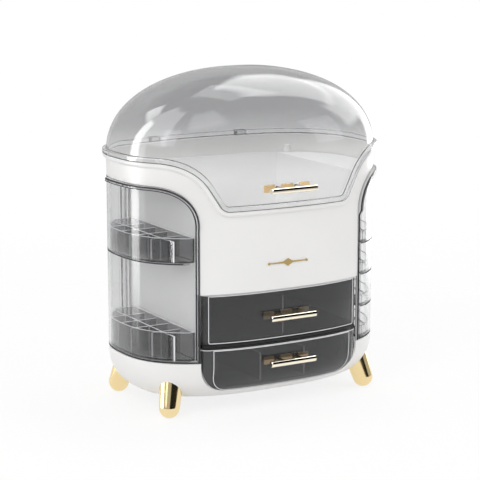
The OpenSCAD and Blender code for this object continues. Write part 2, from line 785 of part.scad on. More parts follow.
module drawer_prism(box_half, inset, z0, z1)
    translate([0, 0, z0]) linear_extrude(z1 - z0) polygon(drawer_plan(box_half, inset));

upper_box_top = upper_top_z - 5;
lower_box_top = lower_top_z - 4;
upper_divider_drop = 4;              // how far the dividers stop under the drawers' sides
lower_divider_drop = 6;

// Behind the front, the sides and back are a little lower than it
module behind_front(z) translate([-half_w, -column_front - 1, z]) cube([body_w, body_d, far]);

module upper_drawer() stand() color(SMOKE) difference() {
    drawer_prism(upper_box_half, 0, upper_low_z, upper_top_z);
    drawer_prism(upper_box_half, drawer_wall, upper_low_z + drawer_wall, far);
    behind_front(upper_box_top);
    handle_bores(upper_handle_z, drawer_wall);
}

// The base's rounded shape with the straight wall above it, drawn in by inset
module rounded_front(inset) intersection() {
    drawer_prism(lower_box_half, inset, 0, far);
    union() {
        bowl_solid(inset);
        oval_prism(inset, base_top_z - lap, far);
    }
}

// The box behind the lower drawer's front, drawn in by inset
module lower_box(inset) translate([inset - lower_box_half, -half_d, lower_floor_z + inset])
    cube([2 * (lower_box_half - inset), half_d + drawer_back_y - inset, far]);

module lower_drawer() stand() color(SMOKE) difference() {
    intersection() {
        rounded_front(0);
        along_y(lower_outline(edge_gap, lower_top_z), -far, far);
        union() {
            lower_box(0);
            translate([-half_w, -half_d, 0]) cube([body_w, half_d - column_front - 1, far]);
        }
    }
    difference() {
        rounded_front(drawer_wall);
        difference() {
            lower_box(0);
            lower_box(drawer_wall);
        }
    }
    behind_front(lower_box_top);
    handle_bores(lower_handle_z, drawer_wall);
}

// A plate across the inside of a drawer, parallel to its sides
module divider(x, z0, z1) intersection() {
    translate([x - divider_t / 2, -half_d, z0]) cube([divider_t, body_d, z1 - z0]);
    oval_prism(drawer_wall + 8, 0, far);
    translate([-half_w, -half_d, 0]) cube([body_w, half_d + drawer_back_y - drawer_wall, far]);
}

module upper_drawer_handle() handle_at(upper_handle_z) drawer_prism(upper_box_half, 0, 0, far);
module upper_handle_screws() handle_screws_at(upper_handle_z, drawer_wall);
module upper_drawer_divider() stand() color(SMOKE)
    divider(0, upper_low_z + drawer_wall, upper_box_top - upper_divider_drop);
module lower_drawer_handle() handle_at(lower_handle_z) rounded_front(0);
module lower_handle_screws() handle_screws_at(lower_handle_z, drawer_wall);
module lower_drawer_dividers() stand() color(SMOKE) for (side = [-1, 1])
    divider(side * lower_box_half / 3, lower_floor_z + drawer_wall, lower_box_top - lower_divider_drop);

body_shell();
well_liner();
drawer_shelf();
front_ornament();
base_bowl();
foot_front_left();
foot_front_right();
foot_rear_left();
foot_rear_right();
foot_screws();
base_screws();
door_pins();
lid_hinge_pins();
lid_dome();
lid_handle();
lid_handle_screws();
left_door();
left_lower_tray();
left_upper_tray();
right_door();
right_tray_1();
right_tray_2();
right_tray_3();
right_tray_4();
upper_drawer();
upper_drawer_handle();
upper_handle_screws();
upper_drawer_divider();
lower_drawer();
lower_drawer_handle();
lower_handle_screws();
lower_drawer_dividers();
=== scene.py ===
import math

import bmesh
import bpy
import numpy as np
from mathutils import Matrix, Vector
from mathutils.geometry import delaunay_2d_cdt

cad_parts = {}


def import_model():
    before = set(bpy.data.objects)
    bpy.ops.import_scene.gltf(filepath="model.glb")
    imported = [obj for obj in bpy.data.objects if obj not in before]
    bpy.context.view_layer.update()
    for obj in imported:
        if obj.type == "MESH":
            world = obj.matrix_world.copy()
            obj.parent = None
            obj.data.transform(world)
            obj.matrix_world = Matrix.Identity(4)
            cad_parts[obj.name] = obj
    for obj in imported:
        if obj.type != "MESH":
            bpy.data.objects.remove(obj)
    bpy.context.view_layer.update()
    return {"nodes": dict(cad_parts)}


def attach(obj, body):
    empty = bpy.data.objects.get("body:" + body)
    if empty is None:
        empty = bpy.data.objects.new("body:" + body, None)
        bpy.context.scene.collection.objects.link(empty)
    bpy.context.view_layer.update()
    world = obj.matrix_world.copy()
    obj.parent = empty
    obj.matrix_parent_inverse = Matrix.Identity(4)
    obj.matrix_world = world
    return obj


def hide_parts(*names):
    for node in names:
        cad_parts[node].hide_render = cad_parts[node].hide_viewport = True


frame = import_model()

# ---------------- sizes, mm
A, B, PN = 146.0, 94.5, 2.6  # half plan and its squareness
PY = 1.45  # the plan's middle along Y
WALL, GAP, SKIN = 2.5, 0.4, 0.4  # wall, running gap, clearance beside the shelf
SEAM, RIM = 58.0, 263.4  # top of the base and top of the body
LOW_RIM, PANEL_LOW = 213.5, 129.4  # the front panel's scooped top and its lower edge
SC_FLAT, SC_FOOT, SC_HEAD, SC_ANG = 66.0, 12.5, 52.0, math.radians(59)  # the scoop: flat, radii, slope
DOOR_X, DOOR_TOP, ARCH = 95.4, 240.5, 40.0
COL_X, COL_T = 95.0, 1.8  # walls between the drawers and the doors
COL_IN = COL_X - COL_T
COL_FRONT = B - 23
LEDGE_Z = (72.0, 129.4)  # ledges on those walls
LEDGE_BACK, FLOOR_FRONT = 66, 76.0  # the ledges' rear end, the rear floor's front
UNDER = 3.0  # how far inside the skin the floors end
BOSS_X, BOSS_Y, BOSS_R, BOSS_LOW = 112, 24, 4.6, 40  # screw bosses under the side floors
SOCKET_TOP, SOCKET_LOW = DOOR_TOP + 11, 47  # ends of the door hinges' sockets
PIV_X, BARREL, PIN_R, SINK = 103.0, 3.6, 1.5, 1.2  # door hinges; SINK: the barrel's middle below its edge
BOWL_DROP, BOWL_IN, BOWL_P = 43.5, 42.0, 2.4  # the base: height, draw-in, roundness
DOME_LOW, DOME_H, DOME_P = 264.4, 86.5, 2.17  # the dome: foot, height, roundness
BEAD_P, BEAD_H = 4.05, 5.0  # bead round the dome's foot
BEAD_OUT, EDGE_OUT = 4.0, 1.4  # a door's bead over its arch and up its front edge
HINGE_Y, HINGE_Z, HINGE_X = 102.5, 258.4, 55.0  # lid hinges
KNUCKLE, KN_L = 4.0, 12.0
DECK_LOW, DECK_T, WELL_LOW, WELL_FRONT = 241.2, 2.0, 131.4, 201.5
LINER_IN = 2.9  # how far inside the skin the liner lies
SHELF_Z, RAIL_Z, SHELF_IN, RAIL_IN = (74, 77.05), (72.45, 73.96), 1.6, 6.2  # heights, and inside the skin by
FACE, FACE_R, DWALL = 93.8, 8.0, 2.2  # drawer fronts: half width, corner, wall
UP_LOW, UP_TOP, UP_BOX = 77.4, 129.0, 92.7
LO_LOW, LO_TOP, LO_BOX, LO_R, LO_FLOOR = 25.6, 72.0, 80.0, 28.0, 30.47
UP_FRAME, LO_FRAME = 87.6, 82.5  # half width of the line round each drawer front
DRAW_BACK = 72.0
DIVIDER, UP_DIV_FRONT, UP_DIV_TOP, LO_DIV_TOP = 0.9, -84.2, 120, 62  # dividers: half thickness, ends
SEAT = 0.03  # gap between a seated piece and its seat
HANDLE_L, HANDLE_T, PITCH, HGAP, POST = 54.0, 6.4, 22.0, 8.5, 3.0
REFLECT_AT, REFLECT_T, REFLECT_LOW, REFLECT_TOP = 3.9, 1.2, 3.4, 4.6  # strips that show a painted reflection of the bar: off the posts, thickness, reach
HANDLES = {"lid": 233.8, "upper": 102.0, "lower": 54.2}
TRAY_X, TRAY_F, TRAY_B, TRAY_W, CORNER = 97.6, 74.0, 64.0, 1.8, 1.5
GRIDS = [("left_lower_tray", 60.6, 30.0), ("left_upper_tray", 162.6, 25.4)]
TIERS = [60.6, 95.0, 130.0, 164.0]
TIER_H, CELL_SPLIT, CELLS = 12.0, 22.4, 5  # low trays' height; the cells' rows and number
FOOT_X, FOOT_Y, FOOT_R, FOOT_Z = 119.8, 58.2, 10.9, 10.0
FOOT_HEAD, FOOT_SPLAY, FOOT_TAPER = math.radians(47), math.radians(20), math.radians(3.5)
CREASE = 35  # edges over this angle stay sharp, degrees

# ---------------- the plan
_phi = np.linspace(-math.pi / 2, 1.5 * math.pi, 24001)
_c, _s = np.cos(_phi), np.sin(_phi)
_r = (np.abs(_c / A) ** PN + np.abs(_s / B) ** PN) ** (-1 / PN)
_px, _py = _r * _c, _r * _s
_len = np.concatenate([[0], np.cumsum(np.hypot(np.diff(_px), np.diff(_py)))])
LOOP = _len[-1]


def plan(s):
    """Point and outward direction of the plan at arc length s from the middle of the front, to the right."""
    s = np.mod(s, LOOP)
    x, y = np.interp(s, _len, _px), np.interp(s, _len, _py)
    gx = np.sign(x) * np.abs(x) ** (PN - 1) / A ** PN
    gy = np.sign(y) * np.abs(y) ** (PN - 1) / B ** PN
    return x, y, gx, gy


def s_front(x):
    """Arc length at x on the front half."""
    half = len(_px) // 4
    xs, ss = _px[:half + 1], _len[:half + 1]
    return np.sign(x) * np.interp(np.abs(x), xs, ss)


def s_back(x):
    """Arc length at x > 0 on the back half."""
    half = len(_px) // 4
    xs, ss = _px[half:2 * half + 1][::-1], _len[half:2 * half + 1][::-1]
    return np.interp(x, xs, ss)


def oval_y(x, ins=0.0):
    """Half depth of the plan at x, drawn in by ins."""
    return (B - ins) * np.maximum(1 - (np.abs(x) / (A - ins)) ** PN, 0) ** (1 / PN)


def unit(v):
    """Vectors scaled to length 1."""
    return v / np.maximum(np.linalg.norm(v, axis=-1, keepdims=True), 1e-12)


# profile of the base under its seam: inset and height against length down from the seam
_ba = np.linspace(0, math.pi / 2, 2001)
_bi = BOWL_IN * (1 - np.cos(_ba) ** (2 / BOWL_P))
_bz = SEAM - BOWL_DROP * np.sin(_ba) ** (2 / BOWL_P)
_bl = np.concatenate([[0], np.cumsum(np.hypot(np.diff(_bi), np.diff(_bz)))])
BOWL_L = _bl[-1]


def bowl_len(z):
    return np.interp(-np.asarray(z, float), -_bz, _bl)


def bowl_inset(z):
    return np.where(np.asarray(z) >= SEAM, 0.0, np.interp(-np.asarray(z, float), -_bz, _bi))


# profile of the dome above the rim
_da = np.linspace(0, math.pi / 2, 2001)
_dc = np.cos(_da) ** (2 / DOME_P)
_dz = DOME_H * np.sin(_da) ** (2 / DOME_P)
_dl = np.concatenate([[0], np.cumsum(np.hypot(np.diff(_dc) * 120, np.diff(_dz)))])
DOME_L = _dl[-1]


def surf(s, w, depth=0.0):
    """Body skin: w is height above the seam, and below it length down the base's profile."""
    s, w = np.broadcast_arrays(np.asarray(s, float), np.asarray(w, float))
    x, y, gx, gy = plan(s)
    g = np.hypot(gx, gy)
    n = np.stack([gx / g, gy / g, 0 * g], -1)
    p = np.stack([x, y, SEAM + w], -1)
    low = w < 0
    if low.any():
        l = -w
        i, z = np.interp(l, _bl, _bi), np.interp(l, _bl, _bz)
        di = np.interp(l + .05, _bl, _bi) - np.interp(l - .05, _bl, _bi)
        dz = np.interp(l + .05, _bl, _bz) - np.interp(l - .05, _bl, _bz)
        q = np.stack([x * (A - i) / A, y * (B - i) / B, z], -1)
        m = unit(np.stack([n[..., 0] * -dz, n[..., 1] * -dz, -di], -1))
        p = np.where(low[..., None], q, p)
        n = np.where(low[..., None], m, n)
    return p - n * np.asarray(depth)[..., None], n


def lid_surf(s, w, depth=0.0):
    """Lid skin: w is height above the dome's foot, and over it length up the dome's profile."""
    s, w = np.broadcast_arrays(np.asarray(s, float), np.asarray(w, float))
    x, y, gx, gy = plan(s)
    l = np.clip(w, 0, DOME_L)
    c, z = np.interp(l, _dl, _dc), np.interp(l, _dl, _dz)
    m = DOME_P
    nz = (z ** (m - 1)) / DOME_H ** m
    n = unit(np.stack([gx * c ** (m - 1), gy * c ** (m - 1), nz], -1))
    p = np.stack([x * c, y * c, np.where(w < 0, DOME_LOW + w, DOME_LOW + z)], -1)
    return p - n * np.asarray(depth)[..., None], n


# ---------------- mesh tools
class Build:
    """Collects points (mm) and faces of closed shells for one piece. k names each face's material."""

    def __init__(self):
        self.v, self.f, self.n, self.k = [], [], [], []

    def add(self, verts, faces, normals=None, marks=None):
        o = len(self.v)
        self.v += [tuple(p) for p in np.asarray(verts, float).reshape(-1, 3)]
        self.f += [tuple(i + o for i in f) for f in faces]
        self.k += list(marks) if marks is not None else [0] * len(faces)
        if normals is not None:
            self.n += [tuple(p) for p in np.asarray(normals, float).reshape(-1, 3)]

    def join(self, other):
        self.add(other.v, other.f, other.n or None, other.k)

    def join_both(self, other):
        self.join(other)
        self.join(other.mirrored())

    def mirrored(self, axis=0):
        b = Build()
        turn = np.ones(3)
        turn[axis] = -1
        b.v, b.n = [[tuple(p) for p in np.array(a, float) * turn] if a else [] for a in (self.v, self.n)]
        b.f, b.k = [f[::-1] for f in self.f], list(self.k)
        return b

    def make(self, name, body, slot, mats, crease=0, replaces=()):
        """Makes the piece. Edges over the angle crease stay sharp; without one the given normals hold."""
        me = bpy.data.meshes.new(name)
        v = np.array(self.v, float)
        v[:, 1] += PY
        me.from_pydata((v * .001).tolist(), [], [tuple(int(i) for i in f) for f in self.f])
        mats = mats if isinstance(mats, tuple) else (mats,)
        me.polygons.foreach_set("material_index", [k if k < len(mats) else 0 for k in self.k])
        given = len(self.n) == len(self.v)
        bm = bmesh.new()
        bm.from_mesh(me)
        if not given:
            bmesh.ops.recalc_face_normals(bm, faces=bm.faces)
        bm.to_mesh(me)
        bm.free()
        me.validate()
        me.update()
        me.polygons.foreach_set("use_smooth", [True] * len(me.polygons))
        ob = bpy.data.objects.new(name, me)
        bpy.context.scene.collection.objects.link(ob)
        if crease:
            me.set_sharp_from_angle(angle=math.radians(crease))
            ob.modifiers.new("normals", "WEIGHTED_NORMAL").keep_sharp = True
        elif given and len(me.vertices) == len(v):
            me.normals_split_custom_set_from_vertices([list(p) for p in self.n])
        for mat in mats:
            me.materials.append(mat)
        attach(ob, body)
        if replaces:
            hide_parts(*replaces)


def grid_faces(rows, cols, wrap=False):
    """Quads between closed rows of points, and with wrap from the last row to the first."""
    out = []
    for j in range(rows if wrap else rows - 1):
        k = (j + 1) % rows
        out += [(j * cols + i, j * cols + (i + 1) % cols, k * cols + (i + 1) % cols, k * cols + i)
                for i in range(cols)]
    return out


def solid_faces(rows, cols):
    """Quads between closed rows of points, with both ends closed."""
    return grid_faces(rows, cols) + [tuple(range(cols))[::-1], tuple(range((rows - 1) * cols, rows * cols))]


def outward(poly, flags=None):
    """Directions out of a counterclockwise outline at its points. Edges flagged as seams don't count."""
    p = np.asarray(poly, float)
    d = unit(np.roll(p, -1, 0) - p)
    e = np.stack([d[:, 1], -d[:, 0]], 1)
    if flags is not None:
        e[np.asarray(flags, bool)] = 0
    b = unit(e + np.roll(e, 1, 0))
    one = np.maximum((b * e).sum(1), (b * np.roll(e, 1, 0)).sum(1))
    return b / np.maximum(one, .5)[:, None]


def fill(outline, step_s, step_w):
    """Triangles that fill an outline, with points inside it on a grid."""
    p = np.asarray(outline, float)
    lo, hi = p.min(0), p.max(0)
    gs = np.arange(math.floor(lo[0] / step_s) + .5, hi[0] / step_s) * step_s
    gw = np.arange(math.floor(lo[1] / step_w) + .5, hi[1] / step_w) * step_w
    gx, gy = [a.ravel() for a in np.meshgrid(gs, gw)]
    inside = np.zeros(len(gx), bool)
    near = np.full(len(gx), 1e9)
    q = np.roll(p, -1, 0)
    for (x0, y0), (x1, y1) in zip(p, q):
        if y0 != y1:
            hit = ((y0 > gy) != (y1 > gy)) & (gx < (x1 - x0) * (gy - y0) / (y1 - y0) + x0)
            inside ^= hit
        l2 = (x1 - x0) ** 2 + (y1 - y0) ** 2
        t = np.clip(((gx - x0) * (x1 - x0) + (gy - y0) * (y1 - y0)) / max(l2, 1e-9), 0, 1)
        near = np.minimum(near, np.hypot(gx - x0 - t * (x1 - x0), gy - y0 - t * (y1 - y0)))
    keep = inside & (near > 1.0)
    pts = [Vector(a) for a in p] + [Vector((a, b)) for a, b in zip(gx[keep], gy[keep])]
    n = len(p)
    v, _, f, _, _, _ = delaunay_2d_cdt(pts, [(i, (i + 1) % n) for i in range(n)], [list(range(n))], 1, 1e-4)
    return np.array([tuple(a) for a in v]), [tuple(x) for x in f]


BEAD_W, EDGE_STEPS = 4.0, 3  # width of a panel's bead, steps in its rounded edges


def panel(build, outline, skin, t, r, ri, seam=None, step=(4, 16), bead=None):
    """A moulded wall on a curved skin: an outline in its (s, w) plane, t thick, edges rounded by r and ri.
    bead gives, for each point of the outline, how far a bead along the edge stands proud."""
    out = np.asarray(outline, float)
    n = len(out)
    e = outward(out, seam)
    seam = [False] * n if seam is None else seam
    aside = unit(e)
    rise = np.zeros(n) if bead is None else np.asarray(bead, float)
    soft = np.minimum(1, rise / 1.4)
    prof, marked = [], set()
    if bead is not None:
        marked = {1, 2, 3, 4}
        prof = [(BEAD_W + .9, 0 * soft), (BEAD_W + .4, .08 * soft), (BEAD_W + .1, .35 * soft),
                (BEAD_W, .8 * soft), (BEAD_W, np.maximum(rise - .7 * soft, .8 * soft)),
                (BEAD_W - .2, rise - .2 * soft), (BEAD_W - .7, rise)]
    turns = np.linspace(0, math.pi / 2, EDGE_STEPS + 1)
    prof += [(r * (1 - math.sin(a)), rise - r * (1 - math.cos(a))) for a in turns]
    prof += [(ri * (1 - math.cos(a)), 0 * soft - t + ri * (1 - math.sin(a))) for a in turns]
    ds = np.array([d + 0 * soft for d, _ in prof])
    hs = np.array([h for _, h in prof])
    td, th = np.gradient(ds, axis=0), np.gradient(hs, axis=0)
    verts, norms, key = [], [], {}

    def put(sw, h, nv):
        k = (round(float(sw[0]), 3), round(float(sw[1]), 3), round(float(h), 3))
        if k not in key:
            key[k] = len(verts)
            verts.append((sw[0], sw[1], -h))
            norms.append(nv)
        return key[k]

    top, tf = fill(out - e * prof[0][0], *step)
    ids = [put(p, 0 if bead is not None else rise[0], (1, 0, 0)) for p in top]
    faces = [tuple(ids[i] for i in f) for f in tf]
    marks = [0] * len(faces)
    corner = len(prof) - 2 * (EDGE_STEPS + 1)
    rings = []
    for k in range(len(prof)):
        ring = []
        for i in range(n):
            if k in (0, len(prof) - 1):
                nv = (1 if k == 0 else -1, 0, 0)
            else:
                side, up = -th[k][i], -td[k][i]
                l = math.hypot(side, up)
                nv = (up / l, aside[i][0] * side / l, aside[i][1] * side / l) if l >= 1e-6 else (1, 0, 0)
            ring.append(put(out[i] - e[i] * ds[k][i], hs[k][i], nv))
        rings.append(ring)
    # Faces of the rounded edges and of the bead are marked 1, the edge's flat side 2: pieces put painted dark
    # or light edges there.
    for k, (a, b) in enumerate(zip(rings[:-1], rings[1:])):
        for i in range(n):
            if not seam[i]:
                j = (i + 1) % n
                q = tuple(dict.fromkeys((a[i], b[i], b[j], a[j])))
                if len(q) > 2:
                    faces.append(q)
                    marks.append(2 if k == corner + EDGE_STEPS else int(k >= corner or k in marked))
    low, lf = fill(out - e * ri, *step)
    ids = [put(p, -t, (-1, 0, 0)) for p in low]
    faces += [tuple(ids[i] for i in f)[::-1] for f in lf]
    marks += [0] * len(lf)
    v, m = np.array(verts), np.array(norms)
    p, nn = skin(v[:, 0], v[:, 1], v[:, 2])
    ps, _ = skin(v[:, 0] + .05, v[:, 1], v[:, 2])
    pw, _ = skin(v[:, 0], v[:, 1] + .05, v[:, 2])
    build.add(p, faces, unit(nn * m[:, :1] + unit(ps - p) * m[:, 1:2] + unit(pw - p) * m[:, 2:3]), marks)


def lattice(build, rows, caps=False, edge=()):
    """A smooth skin through rows of points that run counterclockwise while the rows go up its outside:
    a ring, or with caps a solid with two ends. edge names the material of single rows."""
    g = np.stack(rows)
    r, n = g.shape[:2]
    du = np.gradient(g, axis=0) if caps else np.roll(g, -1, 0) - np.roll(g, 1, 0)
    dv = np.roll(g, -1, 1) - np.roll(g, 1, 1)
    faces = solid_faces(r, n) if caps else grid_faces(r, n, True)
    marks = [dict(edge).get(j, 0) for j in range(r - 1) for _ in range(n)]
    build.add(g, faces, unit(np.cross(dv, du)), marks + [0] * (len(faces) - len(marks)))


def loft(build, rows):
    """A solid through loops of points, closed at both ends."""
    build.add(np.concatenate(rows), solid_faces(len(rows), len(rows[0])))


def across(path):
    """Unit vectors to the left of a closed path in an (s, w) plane."""
    d = np.roll(path, -1, 0) - np.roll(path, 1, 0)
    d[:, 0] = (d[:, 0] + LOOP / 2) % LOOP - LOOP / 2
    d = unit(d)
    return np.column_stack([-d[:, 1], d[:, 0]])


def bead_rows(path, skin, profile):
    """Rows of points beside a closed path. Profile points are (across the path, out of the skin)."""
    e = across(path)
    return [skin(path[:, 0] + e[:, 0] * v, path[:, 1] + e[:, 1] * v, np.full(len(path), -float(n)))[0]
            for v, n in profile]


def offset_loop(loop, d):
    """A closed plan loop (counterclockwise) drawn in by d."""
    return np.asarray(loop, float) - outward(loop) * d


def prism(build, loop, z0, z1, r=.3):
    """A plate or block over a plan loop with slightly rounded edges. Its short sides are marked as edges."""
    loop = np.asarray(loop, float)
    n = len(loop)
    rows = [np.column_stack([offset_loop(loop, d) if d else loop, np.full(n, z)])
            for d, z in ((r, z0), (0, z0 + r), (0, z1 - r), (r, z1))]
    # The short sides, the upper edge and the top are marked 1, where pieces put a painted light edge.
    thin = [int(n == 4 and l < 2.6) for l in np.linalg.norm(np.roll(loop, -1, 0) - loop, axis=1)]
    build.add(np.concatenate(rows), solid_faces(4, n), None, [0] * n + thin + [1] * n + [0, 1])


def cup(build, loop, z0, z1, t, r=.35):
    """An open box over a plan loop, with walls and floor t thick. z1 may vary over the loop's points."""
    loop = np.asarray(loop, float)
    n = len(loop)
    low, top = np.full(n, z0), np.broadcast_to(np.asarray(z1, float), (n,))
    rows = [(.6, low), (0, low + .6), (0, low + t), (0, top - r), (r, top), (t - r, top), (t, top - r),
            (t, low + t + .8), (t + .8, low + t)]
    # Marks: 2 on the lower edge, 1 on the rim; pieces put painted light or dark edges there.
    marks = [m for m in (2, 2, 0, 1, 1, 1, 0, 0) for _ in range(n)] + [0, 0]
    build.add(np.concatenate([np.column_stack([offset_loop(loop, d) if d else loop, z]) for d, z in rows]),
              solid_faces(len(rows), n), None, marks)


def prism_x(build, loop, x0, x1, r=.3):
    """A block along X over a loop in (y, z)."""
    b = Build()
    prism(b, loop, x0, x1, r)
    build.add(np.array(b.v)[:, [2, 0, 1]], b.f)


def box_at(build, lo, hi, r=.3):
    """A block between two corners."""
    lo, hi = np.array(lo, float), np.array(hi, float)
    prism(build, [(lo[0], lo[1]), (hi[0], lo[1]), (hi[0], hi[1]), (lo[0], hi[1])], lo[2], hi[2], r)


def tube(build, p0, p1, r, ends=.4, hole=0.0):
    """A rod or a sleeve between two points, with eased ends."""
    p0, p1 = np.array(p0, float), np.array(p1, float)
    ax = unit(p1 - p0)
    u = unit(np.cross(ax, [0, 0, 1] if abs(ax[2]) < .9 else [1, 0, 0]))
    sides = 40
    t = np.linspace(0, 2 * math.pi, sides, endpoint=False)
    ring = np.outer(np.cos(t), u) + np.outer(np.sin(t), np.cross(ax, u))
    rows = [p0 + ring * (r - ends), p0 + ax * ends + ring * r,
            p1 - ax * ends + ring * r, p1 + ring * (r - ends)]
    if hole:
        rows += [p1 + ring * hole, p0 + ring * hole]
    build.add(np.concatenate(rows), grid_faces(6, sides, True) if hole else solid_faces(4, sides))


def arc(cx, cy, r, a0, a1, n):
    """n + 1 points of a circle between two angles in degrees."""
    t = np.radians(np.linspace(a0, a1, n + 1))
    return np.column_stack([cx + r * np.cos(t), cy + r * np.sin(t)])


# ---------------- materials
def material(name, **values):
    """A material with some inputs of its main shader set: its tree and that shader."""
    m = bpy.data.materials.new(name)
    m.use_nodes = True
    shader = m.node_tree.nodes["Principled BSDF"]
    for k, v in values.items():
        shader.inputs[k.replace("_", " ")].default_value = v
    return m, m.node_tree, shader


def node(nt, kind, inputs=(), **settings):
    """Adds a shader node and gives its outputs. inputs holds plain values and outputs of other nodes."""
    n = nt.nodes.new("ShaderNode" + kind)
    for k, v in settings.items():
        setattr(n, k, v)
    for k, v in dict(inputs).items():
        if isinstance(v, bpy.types.NodeSocket):
            nt.links.new(v, n.inputs[k])
        else:
            n.inputs[k].default_value = v
    return n.outputs


def calc(nt, operation, *values):
    return node(nt, "Math", enumerate(values), operation=operation)[0]


def ease(nt, value, low, high):
    """A soft step from 0 at low to 1 at high. It falls where low is the larger one."""
    return node(nt, "MapRange", {"Value": value, "From Min": low, "From Max": high},
                interpolation_type="SMOOTHSTEP")["Result"]


def mix_tone(nt, one, two, share):
    return node(nt, "Mix", {"A": one, "B": two, "Factor": share}, data_type="RGBA")["Result"]


def mix_shader(nt, share, one, two):
    return node(nt, "MixShader", {"Fac": share, 1: one, 2: two})["Shader"]


def surface(nt, shader):
    nt.links.new(shader, nt.nodes["Material Output"].inputs["Surface"])


def grain(nt, scale, low, high, detail=3.0):
    """A soft noise between two values, fixed to the piece."""
    noise = node(nt, "TexNoise", {"Vector": node(nt, "TexCoord")["Object"], "Scale": scale, "Detail": detail})
    return node(nt, "MapRange", {"Value": noise["Fac"], "From Min": .3, "From Max": .7, "To Min": low,
                                 "To Max": high})["Result"]


def drift(nt, shader, one, two, rough, scales, strength, distance):
    """Lets the colour drift between two close tones and the roughness between two values, over faint dimples.
    scales are those of the tones, the roughness and the dimples."""
    tone = mix_tone(nt, one, two, grain(nt, scales[0], 0, 1))
    nt.links.new(tone, shader.inputs["Base Color"])
    nt.links.new(grain(nt, scales[1], *rough), shader.inputs["Roughness"])
    dimples = grain(nt, scales[2], 0, 1, 2.0)
    bump = node(nt, "Bump", {"Strength": strength, "Distance": distance, "Height": dimples})
    nt.links.new(bump["Normal"], shader.inputs["Normal"])
    return tone


def moulded(name, one, two, rough, gloss=.5):
    m, nt, shader = material(name, IOR=1.5, Specular_IOR_Level=gloss)
    drift(nt, shader, one, two, rough, (14, 60, 420), .12, .0001)
    return m


def plated(name, one, two, rough, metal=1.0):
    m, nt, shader = material(name, Metallic=metal)
    drift(nt, shader, one, two, rough, (25, 120, 260), .03, .0001)
    return m


PAINTED_CROWN_Z = (.240, .300)  # heights between which the dome goes over to its crown's tint, a painted shade, m


def glassy(name, tint, shadow, rough, clear=1.0, crown=None, gloss=.5):
    """Clear moulded plastic that lets the lamps through. crown is a darker tint on its upper part, a painted
    shade.
    """
    m, nt, shader = material(name, Transmission_Weight=clear, IOR=1.47, Specular_IOR_Level=gloss)
    two = tuple(min(1.0, c * 1.012) for c in tint[:3]) + (1,)
    tone = drift(nt, shader, tint, two, rough, (10, 45, 70), .05, .0002)
    if crown:
        z = node(nt, "SeparateXYZ", {0: node(nt, "TexCoord")["Object"]})["Z"]
        nt.links.new(mix_tone(nt, tone, crown, ease(nt, z, *PAINTED_CROWN_Z)), shader.inputs["Base Color"])
    lamp_light = node(nt, "BsdfTransparent", {"Color": shadow})["BSDF"]
    surface(nt, mix_shader(nt, node(nt, "LightPath")["Is Shadow Ray"], shader.outputs["BSDF"], lamp_light))
    return m


WHITE = moulded("white plastic", (.84, .835, .825, 1), (.82, .815, .805, 1), (.34, .42))
# The liner's own plastic, made paler than the outer white so the inside reads lighter: partly painted light.
LIT_LINER = moulded("liner plastic painted lighter", (.92, .92, .915, 1), (.90, .90, .895, 1), (.36, .44))
CLEAR = glassy("clear plastic", (.80, .802, .807, 1), (1, 1, 1, 1), (0.0, .02))
# The right door's copy of the clear plastic, nearly untinted: painted light, as that side is lit brighter.
RIGHT_LIT_CLEAR = glassy("clear plastic painted lighter", (.95, .952, .955, 1), (1, 1, 1, 1), (0.0, .02))
# The dome goes from nearly clear at its foot to grey at the crown: painted shade on the crown, painted light
# at the foot.
DOME = glassy("dome plastic with painted crown shade", (.96, .962, .965, 1), (1, 1, 1, 1), (0.0, .02), crown=(.60, .602, .607, 1))
# Nearly black tint on the rounded edges of the doors, the lid's bead and the right trays' lower edges:
# painted shade.
DARK_EDGE_SHADE = glassy("clear plastic painted dark edge", (.03, .03, .032, 1), (.8, .8, .8, 1), (.04, .10))
# Pale, partly milky faces on the doors' edges and the lid's bead: painted highlight, a light line beside the
# dark edge.
LIT_EDGE_HIGHLIGHT = glassy("pale plastic painted light edge", (.90, .90, .905, 1), (.9, .9, .9, 1), (.10, .18), .45)
# Near-black lines on the doors' beads and at the trays' levels: painted shade where clear edges and trays
# behind look dark.
PAINTED_SHADE_LINE = moulded("painted shade line", (.035, .035, .04, 1), (.05, .05, .055, 1), (.6, .7), .05)
SMOKE = glassy("smoke plastic", (.31, .312, .32, 1), (.9, .9, .9, 1), (.0, .03), .95, gloss=.3)
SMOKE_SIDE = glassy("side smoke plastic", (.40, .402, .41, 1), (.9, .9, .9, 1), (.0, .03), .95)
SMOKE_BOX = glassy("thin smoke plastic", (.74, .742, .75, 1), (.95, .95, .95, 1), (.0, .03), .97)
# Pale, mostly opaque edges and fine lines of the smoke parts: painted highlight where their edges catch
# light.
SMOKE_LIT_EDGE = glassy("smoke plastic painted light edge", (.88, .88, .89, 1), (.95, .95, .95, 1), (.2, .3), .15)
DARK_SMOKE = glassy("dark smoke plastic", (.05, .05, .053, 1), (.5, .5, .5, 1), (.0, .03), gloss=.3)
TRAY = glassy("tray plastic", (.62, .622, .63, 1), (.85, .85, .85, 1), (.0, .03))
# The right trays' plastic, much clearer than the left trays': painted light on the brightly lit side.
TIER = glassy("tier plastic painted lighter", (.93, .93, .935, 1), (.97, .97, .97, 1), (.0, .03))
# The thin smoke plastic, with the painted light edge on its marked faces.
BOX_MATS = (SMOKE_BOX, SMOKE_LIT_EDGE)
GOLD = plated("gold plating", (.91, .74, .42, 1), (.88, .70, .38, 1), (.08, .14))
TRIM = plated("gold trim", (.74, .56, .24, 1), (.68, .50, .20, 1), (.16, .24))
# The handles' gold, paler than the feet's: painted highlight where the bars look overexposed.
HIGHLIT_GOLD = plated("gold plating painted pale", (.97, .90, .76, 1), (.95, .87, .70, 1), (.05, .10))
